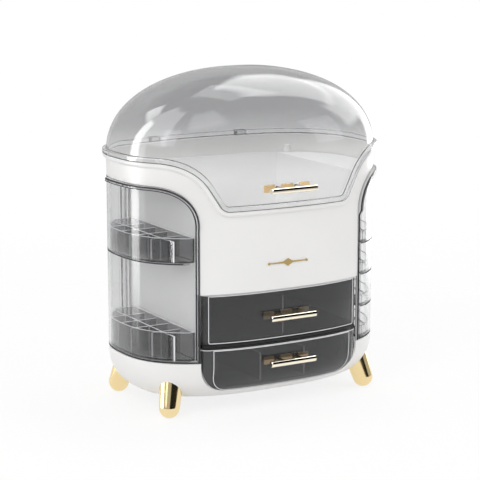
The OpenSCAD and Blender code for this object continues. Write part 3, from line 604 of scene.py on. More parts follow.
# Orange gold of the strips behind the handle bars: painted reflection of the bar in the front.
BAR_REFLECTION = plated("painted bar reflection gold", (.86, .62, .32, 1), (.80, .56, .28, 1), (.30, .42), .5)
STEEL = plated("screw steel", (.62, .62, .63, 1), (.56, .56, .57, 1), (.24, .34))

# ---------------- shared lines
HALF = LOOP / 2


def to_left(points):
    """Points of the right half mirrored, in the opposite order."""
    return [(-s, w) for s, w in points][::-1]


def walk(points, *corners):
    """Adds straight runs to a line of points. Each corner is (s, w, number of points on the way)."""
    for s, w, n in corners:
        points += [tuple(p) for p in np.linspace(points[-1], (s, w), n + 1)[1:]]


def bow(x0, x1, n, ins, side=-1):
    """Points of the plan drawn in by ins, from x0 to x1, at the front or (side=1) at the back."""
    return [(x, side * oval_y(x, ins)) for x in np.linspace(x0, x1, n)]


def back_seam(outline):
    """Flags an outline's edges up the middle of the back, where a skin meets itself."""
    return [abs(abs(a[0]) - HALF) < .01 and abs(abs(c[0]) - HALF) < .01 and a[0] * c[0] > 0
            for a, c in zip(outline, np.roll(outline, -1, 0))]


def rim_line():
    """The rim with its scoop, as (s, z) round the whole body from the middle of the back."""
    head_x = SC_FLAT + (SC_FOOT + SC_HEAD) * math.sin(SC_ANG) + math.cos(SC_ANG) / math.sin(SC_ANG) * (
        RIM - LOW_RIM - (SC_FOOT + SC_HEAD) * (1 - math.cos(SC_ANG)))
    a = math.degrees(SC_ANG)
    xz = np.concatenate([[(x, LOW_RIM) for x in np.arange(0, SC_FLAT - 1, 3)],
                         arc(SC_FLAT, LOW_RIM + SC_FOOT, SC_FOOT, -90, a - 90, 10),
                         arc(head_x, RIM - SC_HEAD, SC_HEAD, 90 + a, 90, 26)])
    gap = np.linalg.norm(np.diff(xz, axis=0), axis=1)
    k = int(gap.argmax())
    steps = np.linspace(0, 1, int(gap[k] / 3) + 1)[1:-1, None]
    xz = np.concatenate([xz[:k + 1], xz[k] + (xz[k + 1] - xz[k]) * steps, xz[k + 1:]])
    right = np.column_stack([s_front(xz[:, 0]), xz[:, 1]])
    last = right[-1][0]
    rest = np.linspace(last, HALF, int((HALF - last) / 4) + 1)[1:]
    right = np.concatenate([right, np.column_stack([rest, np.full(len(rest), RIM)])])
    left = right[1:-1][::-1] * [-1, 1]
    return np.concatenate([left, right])


RIM_LINE = rim_line()


def pivot():
    """Where the right door turns, and its place along the plan."""
    s = np.linspace(s_back(PIV_X) - 10, s_back(PIV_X) + 10, 2001)
    x, y, gx, gy = plan(s)
    wall = oval_y(PIV_X)
    k = int(np.abs(x - PIV_X).argmin())
    ny = gy[k] / math.hypot(gx[k], gy[k])
    cy = wall - (BARREL - SINK) / ny
    k = int(np.hypot(x - PIV_X, y - cy).argmin())
    return cy, s[k]


PIV_Y, PIV_S = pivot()


def inside(s, ins):
    """Points of the plan drawn in by ins."""
    return surf(s, np.full(len(s), 5.0), np.full(len(s), ins))[0][:, :2]


def plan_run(s0, s1, ins, step):
    """Points of the plan drawn in by ins, between two arc lengths."""
    return inside(np.linspace(s0, s1, max(2, int(abs(s1 - s0) / step) + 1)), ins)


def inner_run(x0, y0, y1, ins):
    """The right side of the plan drawn in by ins, from (x0, y0) at the front round to y1 at the back."""
    p = inside(np.linspace(s_front(x0) - 30, s_back(x0) + 30, 4000), ins)
    p = p[(p[:, 1] > y0) & (p[:, 1] < y1) & (p[:, 0] > x0)]
    l = np.concatenate([[0], np.cumsum(np.linalg.norm(np.diff(p, axis=0), axis=1))])
    at = np.linspace(0, l[-1], int(l[-1] / 3) + 1)
    q = np.column_stack([np.interp(at, l, p[:, 0]), np.interp(at, l, p[:, 1])])
    q[0][1], q[-1][1] = y0, y1
    return q


# ---------------- body
def body():
    rear = PIV_S + BARREL + .35
    lower = [(float(s_front(x)), PANEL_LOW) for x in np.linspace(-DOOR_X, DOOR_X, 49)]
    jamb = [(DOOR_X, z) for z in np.arange(PANEL_LOW + 4, DOOR_TOP - ARCH - 2, 4)]
    arch = arc(DOOR_X + ARCH, DOOR_TOP - ARCH, ARCH, 180, 90, 20)
    right = [(float(s_front(x)), z) for x, z in [*jamb, *arch]]
    walk(right, (rear, DOOR_TOP, 43))
    right += [(rear, z) for z in np.arange(DOOR_TOP - 6, SEAM + 3, -6)] + [(rear, SEAM)]
    walk(right, (HALF, SEAM, 25))
    out = np.concatenate([lower, right, RIM_LINE[::-1], [(-HALF, RIM)], to_left(right)])
    out[:, 1] -= SEAM
    b = Build()
    panel(b, out, surf, WALL, .5, .3, back_seam(out))
    b.make("body_wall", "cabinet", "white_plastic", WHITE, replaces=["body_shell"])
    lip = [(-5.6, -.3), (-5.2, .25), (-4.5, 1.0), (-3.9, 1.9), (-3.4, 2.8), (-2.9, 3.25), (-2.2, 3.48),
           (-1.2, 3.5), (-.5, 3.45), (-.12, 3.2), (0, 2.8), (0, -.3)]
    b = Build()
    lattice(b, bead_rows(RIM_LINE - [0, SEAM], surf, lip))
    b.make("body_lip", "cabinet", "white_plastic", WHITE)
    # column wall, ledges, side floor, upper door socket and bosses of the right side
    c = Build()
    y = oval_y(COL_X)
    box_at(c, (COL_IN, -COL_FRONT, SEAM), (COL_X, y - 1.2, DOOR_TOP + .3))
    box_at(c, (COL_IN, -COL_FRONT, SEAM - WALL), (COL_X, oval_y(COL_X, UNDER + .1), SEAM + .1), .05)
    box_at(c, (COL_IN, 1.2 - y, PANEL_LOW), (COL_X, -COL_FRONT + .1, DOOR_TOP + .3))
    for z in LEDGE_Z:
        box_at(c, (COL_IN - 2, -COL_FRONT, z), (COL_IN + .5, LEDGE_BACK, z + 2))
    x = COL_X + .1
    back = oval_y(COL_IN, UNDER)
    loop = np.concatenate([inner_run(x, -oval_y(x, UNDER), back, UNDER),
                           [(COL_IN, back), (COL_IN, -COL_FRONT), (x, -COL_FRONT)]])
    prism(c, loop, SEAM - WALL, SEAM, .2)
    tube(c, (PIV_X, PIV_Y, DOOR_TOP), (PIV_X, PIV_Y, SOCKET_TOP), BARREL)
    for y in (-BOSS_Y, BOSS_Y):
        tube(c, (BOSS_X, y, BOSS_LOW), (BOSS_X, y, SEAM - .5), BOSS_R, .3)
    b = Build()
    b.join_both(c)
    back = bow(COL_IN, -COL_IN, 40, UNDER, 1)
    prism(b, [(-COL_IN, FLOOR_FRONT), (COL_IN, FLOOR_FRONT)] + back, SEAM - WALL, SEAM, .2)
    for side in (-1, 1):
        for off in (-1, 1):
            x = side * HINGE_X + off * (KN_L + .4)
            x0, x1 = x - KN_L / 2, x + KN_L / 2
            y, z = oval_y(abs(x)) - 1, HINGE_Z - KNUCKLE
            tube(b, (x0, HINGE_Y, HINGE_Z), (x1, HINGE_Y, HINGE_Z), KNUCKLE, hole=PIN_R + .05)
            box_at(b, (x0, y, z), (x1, HINGE_Y - 1.9, z + 2 * KNUCKLE), .25)
    # The inside walls take the paler liner plastic, not the outer white: painted light.
    b.make("body_inside", "cabinet", "white_plastic", LIT_LINER, CREASE)


def base():
    half, r = FACE + GAP + .65, LO_R + .4      # the opening's edge leans in, so it starts wider
    cx, low = half - r, LO_LOW - GAP
    ring = [(half, z) for z in np.arange(SEAM, low + r + 1, -2)]
    ring += [tuple(p) for p in arc(cx, low + r, r, 0, -90, 23)]
    ring += [(x, low) for x in np.arange(cx - 4, 0, -4)]

    def on(x, z):
        return float(s_front(x * A / (A - float(bowl_inset(z))))), -float(bowl_len(z))

    right = [on(x, z) for x, z in ring]
    out = [right[0]]
    walk(out, (HALF, 0.0, 109), (HALF, -BOWL_L, 39), (-HALF, -BOWL_L, 159), (-HALF, 0.0, 39))
    walk(out, (-right[0][0], 0.0, 109))
    out = np.array(to_left(right[1:]) + out[::-1] + right[1:] + [(0.0, right[-1][1])])
    b = Build()
    panel(b, out, surf, WALL, .5, .3, back_seam(out), step=(4, 5))
    b.make("base_skin", "cabinet", "white_plastic", WHITE, replaces=["base_bowl"])
    b = Build()
    x, y, _, _ = plan(np.linspace(0, LOOP, 181)[:-1])
    loop = np.column_stack([x * (A - BOWL_IN) / A, y * (B - BOWL_IN) / B])
    prism(b, loop, SEAM - BOWL_DROP, SEAM - BOWL_DROP + WALL, .1)
    for m in (1, -1):
        tube(b, (m * PIV_X, PIV_Y, SOCKET_LOW), (m * PIV_X, PIV_Y, SEAM), BARREL)
    b.make("base_floor", "cabinet", "white_plastic", WHITE, CREASE)


def liner():
    """The well under the lid, lower at the front, and the decks beside it, notched for the door sockets."""
    b = Build()
    deck = DECK_LOW + DECK_T
    front, back = bow(-UP_BOX, UP_BOX, 61, LINER_IN), bow(UP_BOX, -UP_BOX, 61, LINER_IN, 1)
    tops = [WELL_FRONT if abs(x) < UP_BOX - 2.2 else deck for x, _ in front] + [deck] * len(back)
    cup(b, front + back, WELL_LOW, tops, DECK_T, .4)
    edge, notch = UP_BOX - .4, BARREL + .4
    run = plan_run(s_front(edge), PIV_S - notch - .4, LINER_IN, 3)
    after = plan_run(PIV_S + notch + .4, s_back(edge), LINER_IN, 2)
    a0, a1 = [math.degrees(math.atan2(p[1] - PIV_Y, p[0] - PIV_X)) for p in (run[-1], after[0])]
    a1 -= 360 if a1 > a0 else 0
    loop = np.concatenate([run[:-1], arc(PIV_X, PIV_Y, notch, a0, a1, 14), after[1:]])
    loop[:, 0] = np.maximum(loop[:, 0], edge)
    c = Build()
    prism(c, loop, DECK_LOW, deck - .02)
    b.join_both(c)
    b.make("well_liner", "cabinet", "liner_plastic", LIT_LINER, CREASE, replaces=["well_liner"])


def shelf():
    b = Build()
    half = COL_IN - SKIN
    front = bow(-half, half, 61, SHELF_IN)
    prism(b, front + [(half, DRAW_BACK), (-half, DRAW_BACK)], *SHELF_Z)
    prism(b, front + bow(half - .6, -half + .6, 61, RAIL_IN), *RAIL_Z, .25)
    b.make("drawer_shelf", "cabinet", "smoke_plastic", DARK_SMOKE, CREASE, replaces=["drawer_shelf"])


# ---------------- lid
def lid():
    path = RIM_LINE - [0, DOME_LOW]
    foot = [(.9, -2.5), (.62, -2.42), (.42, -2.1), (.4, -1.6), (.4, 3.3), (.5, 3.75), (.8, 4.0), (1.3, 4.05),
            (4.3, 4.05), (4.9, 3.98), (5.3, 3.7), (5.42, 3.2), (5.45, .75), (5.6, .3), (6.0, .06), (6.5, 0.0)]
    e = across(path)

    def dome(v, depth):
        """Rows from v above the path nearly to the crown."""
        s, w = path[:, 0] + e[:, 0] * v, path[:, 1] + e[:, 1] * v
        return [lid_surf(s, w + (DOME_L - .4 - w) * t, np.full(len(s), depth))[0]
                for t in np.linspace(0, 1, 60)[1:]]

    inner = dome(foot[0][0], WALL)[::-1]
    # Rows of the foot's bead marked for the painted dark edge (1) and the painted light line (2).
    marks = {len(inner) + j: m for j, m in ((3, 2), (4, 1), (5, 1), (6, 1), (12, 1), (13, 1))}
    b = Build()
    lattice(b, inner + bead_rows(path, lid_surf, foot) + dome(foot[-1][0], 0.0), True, marks)
    b.make("lid_dome", "lid", "clear_plastic", (DOME, DARK_EDGE_SHADE, LIT_EDGE_HIGHLIGHT), replaces=["lid_dome"])
    b = Build()
    low = RIM + .4
    y = oval_y(HINGE_X + KN_L / 2) + BEAD_P - .3
    loop = [(y, low), (HINGE_Y - KNUCKLE, low), (HINGE_Y - KNUCKLE, HINGE_Z)]
    loop += [tuple(p) for p in arc(HINGE_Y, HINGE_Z, KNUCKLE, 180, 450, 30)[1:]]
    loop += [(HINGE_Y, low + BEAD_H), (y, low + BEAD_H)]
    for x in (-HINGE_X, HINGE_X):
        prism_x(b, loop, x - KN_L / 2, x + KN_L / 2)
    b.make("lid_hinge_arms", "lid", "clear_plastic", CLEAR, CREASE)


# ---------------- doors and trays
def shade_edge_line(build, outline, rise, pick, profile):
    """A fine raised line along part of a door's outline, dark as a painted shade: profile is (inwards, up
    from the bead).
    """
    e = outward(outline)
    rows = np.stack([surf(outline[:, 0] - e[:, 0] * d, outline[:, 1] - e[:, 1] * d, -(rise + h))[0]
                     for d, h in profile])
    loft(build, [rows[:, i] for i in pick])


def door_skin():
    """The right door's skin with its beaded edge, and the fine dark lines that lie on the bead as painted
    shade.
    """
    x0 = DOOR_X + GAP
    end = PIV_S - BARREL + .25
    low, top = SEAM + GAP, DOOR_TOP - GAP
    s0 = float(s_front(x0))
    bottom = [(s, low) for s in np.linspace(s0, end, 70)]
    rear = [(end, z) for z in np.arange(low + 6, top - 3, 6)]
    arch = [(float(s_front(x)), z) for x, z in arc(DOOR_X + ARCH, DOOR_TOP - ARCH, ARCH - GAP, 90, 180, 24)]
    roof = [(s, top) for s in np.linspace(end, arch[0][0], 60)]
    front = [(s0, z) for z in np.arange(DOOR_TOP - ARCH - 3, low + 2, -3)]
    out = np.array(bottom + rear + roof + arch[1:] + front)
    side = np.linspace(PIV_S - 120, PIV_S, 400)
    fade = float(np.interp(30, plan(side)[1], side))      # the bead along the top ends here
    rise = np.zeros(len(out))
    for i, (s, z) in enumerate(out):
        if z > DOOR_TOP - ARCH - .01 and s < fade:
            rise[i] = BEAD_OUT * min(1, max(0, (fade - s) / 3)) if z > top - .01 else BEAD_OUT
        elif s < s0 + .01:
            rise[i] = EDGE_OUT + (BEAD_OUT - EDGE_OUT) * max(0, (z - (DOOR_TOP - ARCH - 6)) / 6)
    rise[0] = EDGE_OUT
    out[:, 1] -= SEAM
    b, lines = Build(), Build()
    panel(b, out, surf, WALL, .9, .6, step=(4, 12), bead=rise)
    roof_at, n = len(bottom) + len(rear), len(out)
    shade_edge_line(lines, out, rise, list(range(roof_at + 3, n)) + list(range(len(bottom) - 3)),
              [(.45, -.17), (1.7, -.06), (1.7, .04), (1.5, .08), (.75, .08), (.45, -.04)])
    shade_edge_line(lines, out, rise, [i for i in range(roof_at, n) if rise[i] > .7],
              [(3.0, -.06), (3.9, -.4), (3.9, -.2), (3.75, .0), (3.2, .08), (3.0, .04)])
    return b, lines


def tray_loop():
    """Plan of a tray in the right door."""
    x = TRAY_X
    edge = inner_run(x, -TRAY_F, TRAY_B, WALL + .1)
    return np.concatenate([arc(x + CORNER, CORNER - TRAY_F, CORNER, 180, 270, 4), edge,
                           arc(x + CORNER, TRAY_B - CORNER, CORNER, 90, 180, 4)])


def oval_x(y, ins):
    """Half width of the plan at y, drawn in by ins."""
    return (A - ins) * (1 - (abs(y) / (B - ins)) ** PN) ** (1 / PN)


def grid_walls(b, z, h):
    """Dividers of a tray with two rows of cells."""
    t = TRAY_W
    x0, x1 = TRAY_X + t, TRAY_X + CELL_SPLIT
    lo, hi = z + t + SEAT, z + h - 2
    box_at(b, (x1, -TRAY_F + t + SEAT, lo), (x1 + t, TRAY_B - t - SEAT, hi), .25)
    pitch = (TRAY_F + TRAY_B - t) / CELLS
    for i in range(1, CELLS):
        y = i * pitch - TRAY_F
        box_at(b, (x0 + SEAT, y, lo), (x1 - SEAT, y + t, hi), .25)
        far, x = WALL + .1 + t + .05, x1 + t + SEAT
        prism(b, [(x, y), (oval_x(y, far), y), (oval_x(y + t, far), y + t), (x, y + t)], lo, hi, .25)


def doors():
    skin, lines = door_skin()
    barrel = Build()
    tube(barrel, (PIV_X, PIV_Y, SEAM + GAP), (PIV_X, PIV_Y, DOOR_TOP - GAP), BARREL, .3, PIN_R + .06)
    loop = tray_loop()

    def strip(b, x, y0, y1, ins0, ins1, z0, z1, r):
        """A strip along the door, between two distances inside its skin."""
        prism(b, np.concatenate([inner_run(x, y0, y1, ins0), inner_run(x, y0, y1, ins1)[::-1]]), z0, z1, r)

    # The right door takes a lighter copy of the clear plastic than the left: painted light.
    for side, seats, clear in (("left", [z for _, z, _ in GRIDS], CLEAR), ("right", TIERS, RIGHT_LIT_CLEAR)):
        door = side + "_door"

        def put(b, name, *rest, **more):
            (b.mirrored() if side == "left" else b).make(name, door, *rest, **more)

        put(skin, door, "clear_plastic", (clear, DARK_EDGE_SHADE, LIT_EDGE_HIGHLIGHT), replaces=[door])
        ledges, shade_strips = Build(), Build()
        ledges.join(barrel)
        shade_strips.join(lines)
        for z in seats:
            strip(ledges, TRAY_X + 2, 2 - TRAY_F, TRAY_B - 2, WALL + .04, WALL + 2.6, z - 2, z - SEAT, .2)
        # Dark lines on the door's outside at the upper trays' levels: painted shade.
        for z in seats[1:]:
            strip(shade_strips, TRAY_X + 5, 1 - TRAY_F, TRAY_B - 2, -.08, .3, z - 1.5, z - .2, .05)
        put(ledges, door + "_ledges", "clear_plastic", CLEAR, CREASE)
        put(shade_strips, door + "_shade_lines", "smoke_plastic", PAINTED_SHADE_LINE, CREASE)
    for name, z, h in GRIDS:
        b = Build()
        cup(b, loop, z, z + h, TRAY_W)
        grid_walls(b, z, h)
        b.mirrored().make(name, "left_door", "smoke_plastic", (TRAY, SMOKE_LIT_EDGE), CREASE, [name])
    for i, z in enumerate(TIERS):
        b = Build()
        cup(b, loop, z, z + TIER_H, TRAY_W)
        name = f"right_tray_{i + 1}"
        # The right trays take the lighter tier plastic and the painted dark lower edge.
        b.make(name, "right_door", "smoke_plastic", (TIER, TIER, DARK_EDGE_SHADE), CREASE, [name])


# ---------------- drawers
STEP_Y = -COL_FRONT - 1  # where a drawer's front steps in to its box
FACE_N, ROUND_N = 36, 14  # points of half a front and of its corner


def front_line():
    """Plan of a drawer's front from the middle round its right edge to the step: points, counterclockwise."""
    x = FACE - FACE_R * .67
    y = oval_y(x)
    turn = math.atan2(y ** (PN - 1) / B ** PN, x ** (PN - 1) / A ** PN)
    touch = FACE - FACE_R * (1 - math.cos(turn))
    my = -(oval_y(touch) - FACE_R * math.sin(turn))
    front = [(v, -oval_y(v)) for v in np.linspace(0, touch, FACE_N)]
    side = [tuple(p) for p in arc(FACE - FACE_R, my, FACE_R, -math.degrees(turn), 0, ROUND_N)[1:]]
    return np.array(front + side + [(FACE, v) for v in np.linspace(my, STEP_Y, 4)[1:]])


FRONT = front_line()
FRONT_S = np.concatenate([[0], np.cumsum(np.linalg.norm(np.diff(FRONT, axis=0), axis=1))])
FRONT_DY = FRONT[:, 1] + oval_y(FRONT[:, 0])


def face_s(x):
    """Arc length at x on a drawer's front."""
    n = FACE_N + ROUND_N
    return float(np.sign(x) * np.interp(abs(x), FRONT[:n, 0], FRONT_S[:n]))


def drawer_point(s, w):
    """Point of a drawer's front: it follows the plan and, under the seam, the base's profile."""
    a = np.abs(s)
    x = np.interp(a, FRONT_S, FRONT[:, 0])
    dy = np.interp(a, FRONT_S, FRONT_DY)
    i = np.where(w < 0, np.interp(-w, _bl, _bi), 0)
    z = np.where(w < 0, np.interp(-w, _bl, _bz), SEAM + w)
    k = (STEP_Y + oval_y(FACE, i)) / (STEP_Y + oval_y(FACE, 0))
    return np.stack([np.sign(s) * x, -oval_y(x, i) + dy * k, z], -1)


def drawer_skin(s, w, depth=0.0):
    s, w = np.broadcast_arrays(np.asarray(s, float), np.asarray(w, float))
    p = drawer_point(s, w)
    ds = drawer_point(s + .4, w) - drawer_point(s - .4, w)
    dw = drawer_point(s, w + .4) - drawer_point(s, w - .4)
    n = unit(np.cross(ds, dw))
    return p - n * np.asarray(depth)[..., None], n


def tint(build, rule):
    """Gives each plain face the material that rule names for its middle."""
    for i, f in enumerate(build.f):
        if not build.k[i]:
            build.k[i] = rule(*np.mean([build.v[j] for j in f], axis=0))


def frame_path(half, low, top, r):
    """A closed line on a drawer's front in its (s, w) plane, counterclockwise, with round lower corners."""
    pts = [(r - half, low)]
    walk(pts, (half - r, low, 59))
    pts += [*arc(half - r, low + r, r, 270, 360, 12)[1:]]
    walk(pts, (half, top, 11), (-half, top, 69), (-half, low + r, 11))
    pts += [*arc(r - half, low + r, r, 180, 270, 12)[1:-1]]
    return np.array([(face_s(x), z - SEAM if z > SEAM else -float(bowl_len(z))) for x, z in pts])


def hairline(name, body_name, path):
    """A fine raised line on a drawer's front, pale as a painted highlight."""
    prof = [(-.38, .1), (-.2, .2), (.2, .2), (.38, .1), (.38, -.06), (-.38, -.06)]
    b = Build()
    lattice(b, bead_rows(path, drawer_skin, prof))
    b.make(name, body_name, "smoke_plastic", SMOKE_LIT_EDGE)


def behind(x, z, depth):
    """Y of the surface that lies depth behind the lower drawer's front, at x and z."""
    p, _ = drawer_skin(face_s(abs(x)), np.linspace(-44, 14, 400), np.full(400, depth))
    return float(np.interp(z, p[:, 2], p[:, 1]))


def upper_drawer():
    name = "upper_drawer"
    b = Build()
    right = [tuple(p) for p in FRONT]
    front = to_left(right[1:]) + right
    x, y = UP_BOX - CORNER, DRAW_BACK - CORNER
    back = [(UP_BOX, STEP_Y), *arc(x, y, CORNER, 0, 90, 4), *arc(-x, y, CORNER, 90, 180, 4),
            (-UP_BOX, STEP_Y)]
    cup(b, front + back, UP_LOW, [UP_TOP] * len(front) + [UP_TOP - 5] * len(back), DWALL, .4)
    tint(b, lambda x, y, z: 0 if y < STEP_Y - .5 else 3)
    b.make(name, name, "smoke_plastic", (SMOKE, SMOKE_LIT_EDGE, SMOKE, SMOKE_BOX), CREASE, [name])
    hairline("upper_drawer_line", name, frame_path(UP_FRAME, UP_LOW + 1.4, UP_TOP - 1.2, 2.0))
    b = Build()
    w = DWALL + SEAT
    box_at(b, (-DIVIDER, UP_DIV_FRONT, UP_LOW + w), (DIVIDER, DRAW_BACK - w, UP_DIV_TOP), .25)
    b.make("upper_divider", name, "smoke_plastic", BOX_MATS, CREASE, ["upper_drawer_divider"])


def lower_drawer():
    """Its front follows the base and has rounded lower corners; box and floor stand behind it."""
    name = "lower_drawer"
    cx, r, cz = FACE - LO_R + GAP, LO_R - GAP, LO_LOW + LO_R - GAP
    turns = np.radians(np.concatenate([np.linspace(0, 70, 18), np.linspace(73, 90, 12)]))
    ring = [(x, LO_LOW) for x in np.arange(0, cx - 2, 4)]
    ring += [(cx + r * math.sin(a), cz - r * math.cos(a)) for a in turns]
    out = [(face_s(x), -float(bowl_len(z))) for x, z in ring]
    end, top = FRONT_S[-1], LO_TOP - SEAM
    walk(out, (end, out[-1][1], 4), (end, top, 7), (0, top, 33))
    b = Build()
    panel(b, out + to_left(out[1:-1]), drawer_skin, DWALL, .6, .3, step=(3.5, 4))
    tint(b, lambda x, y, z: 0 if abs(x) < LO_FRAME else 3)
    mats = (SMOKE, SMOKE_LIT_EDGE, SMOKE, SMOKE_SIDE)
    b.make("lower_drawer_front", name, "smoke_plastic", mats, replaces=[name])
    hairline("lower_drawer_line", name, frame_path(LO_FRAME, LO_LOW + 1.3, LO_TOP - 1.2, 17.0))
    b = Build()
    h, w, y1 = LO_BOX, DWALL, DRAW_BACK
    rows = []
    for z in (LO_FLOOR, 33, 36, 40, 45, 51, 58, LO_TOP - 4.3, LO_TOP - 4):
        q = .3 if z in (LO_FLOOR, LO_TOP - 4) else 0
        y = behind(h - 1, z, w + .06)
        rows.append(np.array([(x, v, z) for x, v in (
            (h - q, y), (h - q, y1 - q), (-h + q, y1 - q), (-h + q, y), (-h + w - q, y),
            (-h + w - q, y1 - w + q), (h - w + q, y1 - w + q), (h - w + q, y))]))
    loft(b, rows)
    xs = np.linspace(-h + w + .04, h - w - .04, 41)
    rows = []
    for z, q in ((LO_FLOOR, .2), (LO_FLOOR + .2, 0), (LO_FLOOR + w - .2, 0), (LO_FLOOR + w, .2)):
        rows.append(np.array([(x, behind(x, z, w + .06) + q, z) for x in xs]
                             + [(x, y1 - w - .04, z) for x in (xs[-1], xs[0])]))
    loft(b, rows)
    b.make("lower_drawer_box", name, "smoke_plastic", BOX_MATS, CREASE)
    b = Build()
    for x in (-h / 3, h / 3):
        y0 = max(-oval_y(abs(x) + DIVIDER, 10.2), behind(x, LO_FLOOR + 3, w + .1))
        box_at(b, (x - DIVIDER, y0, LO_FLOOR + w + SEAT), (x + DIVIDER, y1 - w - .05, LO_DIV_TOP), .25)
    b.make("lower_dividers", name, "smoke_plastic", BOX_MATS, CREASE, ["lower_drawer_dividers"])


def handle(name, body_name, z, part, wall_t):
    """A bar on two posts, with a thin gold strip inside the wall that paints the bar's reflection in the
    front.
    """
    b = Build()
    wall = oval_y(PITCH / 2)
    cy, r = -(wall + HGAP + HANDLE_T / 2), 3.0
    k = HANDLE_T / 2 - r
    loop = np.concatenate([arc(cy + sy * k, z + sz * k, r, a, a + 90, 10)
                           for sy, sz, a in ((1, 1, 0), (-1, 1, 90), (-1, -1, 180), (1, -1, 270))])
    prism_x(b, loop, -HANDLE_L / 2, HANDLE_L / 2, .5)
    for x in (-PITCH / 2, PITCH / 2):
        tube(b, (x, cy + 1, z), (x, -wall - .02, z), POST, .01)
        tube(b, (x, -wall - .9, z), (x, -wall - .02, z), POST, .15)
    b.make(name, body_name, "gold", HIGHLIT_GOLD, CREASE, replaces=[part])
    b = Build()
    # Gold strips inside the wall behind the bar: painted reflection of the bar in the glossy front.
    skin, near, far, end = wall_t + .02, PITCH / 2 - REFLECT_AT, PITCH / 2 + REFLECT_AT, HANDLE_L / 2
    for x0, x1 in ((-near, near), (far, end), (-end, -far)):
        prism(b, bow(x0, x1, 9, skin) + bow(x1, x0, 9, skin + REFLECT_T), z - REFLECT_LOW, z + REFLECT_TOP)
    b.make(name + "_painted_reflection", body_name, "gold", BAR_REFLECTION, CREASE)


def feet():
    """Tapered legs with round ends that lean outwards and end in the base."""
    lean, head = -FOOT_SPLAY, FOOT_HEAD
    ax = np.array([math.sin(lean) * math.cos(head), math.sin(lean) * math.sin(head), math.cos(lean)])
    u = np.array([math.cos(lean) * math.cos(head), math.cos(lean) * math.sin(head), -math.sin(lean)])
    o = np.array([FOOT_X, FOOT_Y, FOOT_Z])
    th = np.linspace(0, 2 * math.pi, 72, endpoint=False)
    rad = np.outer(np.cos(th), u) + np.outer(np.sin(th), np.cross(ax, u))

    def at(h, rad):
        """Points of the leg's side at heights h along its axis."""
        r = FOOT_R / math.cos(FOOT_TAPER) + h * math.tan(FOOT_TAPER)
        return o + h[:, None] * ax + r[:, None] * rad

    hs = np.arange(0, 60, .1)
    end = np.zeros(len(th))
    for i in range(len(th)):
        p = at(hs, rad[i])
        ins = bowl_inset(p[:, 2])
        f = (np.abs(p[:, 0]) / (A - ins)) ** PN + (np.abs(p[:, 1]) / (B - ins)) ** PN
        hit = (f < 1) & (p[:, 2] > SEAM - BOWL_DROP) & (p[:, 2] < SEAM + 1)
        end[i] = hs[hit.argmax()] if hit.any() else 44
    rows = [o + ax * FOOT_R * math.sin(a) + rad * FOOT_R * math.cos(a)
            for a in np.linspace(-math.pi / 2 + .02, -FOOT_TAPER, 22)]
    rows += [at(end * t + .15 * t, rad) for t in np.linspace(0, 1, 16)[1:]]
    b = Build()
    loft(b, [np.column_stack([q[:, :2], np.maximum(q[:, 2], 0)]) for q in rows])
    for nx, x_side in (("left", b.mirrored()), ("right", b)):
        for ny, foot in (("front", x_side.mirrored(1)), ("rear", x_side)):
            foot.make(f"foot_{ny}_{nx}", "cabinet", "gold", GOLD, 40, replaces=[f"foot_{ny}_{nx}"])


body()
base()
liner()
shelf()
lid()
doors()
upper_drawer()
lower_drawer()
handle("lid_handle", "lid", HANDLES["lid"], "lid_handle", WALL)
handle("upper_handle", "upper_drawer", HANDLES["upper"], "upper_drawer_handle", DWALL)
handle("lower_handle", "lower_drawer", HANDLES["lower"], "lower_drawer_handle", DWALL)
feet()
for part in ("front_ornament", "foot_screws", "base_screws", "door_pins", "lid_hinge_pins",
             "lid_handle_screws", "upper_handle_screws", "lower_handle_screws"):
    kept = frame["nodes"][part].data
    kept.materials.clear()
    kept.materials.append(TRIM if part == "front_ornament" else STEEL)

# ---------------- stage
SOFT_LIGHT = .74  # strength of the world's plain light
# what gloss sees: azimuth from the front to the right, elevation, softness (degrees), strength
BOXES = [(70, 128, 16, 40, 4, 3.8), (99, 128, -6, 16, 4, 3.8), (80, 142, 38, 67, 4, 4.4),
         (-131, -114, -30, 46, 3, 8.0), (-158, -132, 40, 56, 3, 6.0), (-130, -62, 16, 74, 4, 3.6),
         (-130, -100, -10, 16, 4, 3.6), (-34, 12, 42, 69, 6, 2.2), (102, 134, -12, -4, 1.5, 4.0)]
FLAGS = [(-24, 44, -2, 40, 3, .97), (14, 66, 14, 90, 8, .8)]
# how bright the room is to gloss, and through the plastic: the elevations between which it goes from dark to
# light (degrees), what the light part adds, the dark part
GLOSS_ROOM, CLEAR_ROOM = (46, 30, .42, .08), (62, 38, .75, .25)
FLOOR_Z, FLOOR_RINGS, FLOOR_FADE, FLOOR_WHITE = -.0006, (.3, .6, .9, 1.2), (.25, 1.1), .82
AIM = .2  # height of the lamps' aim, m


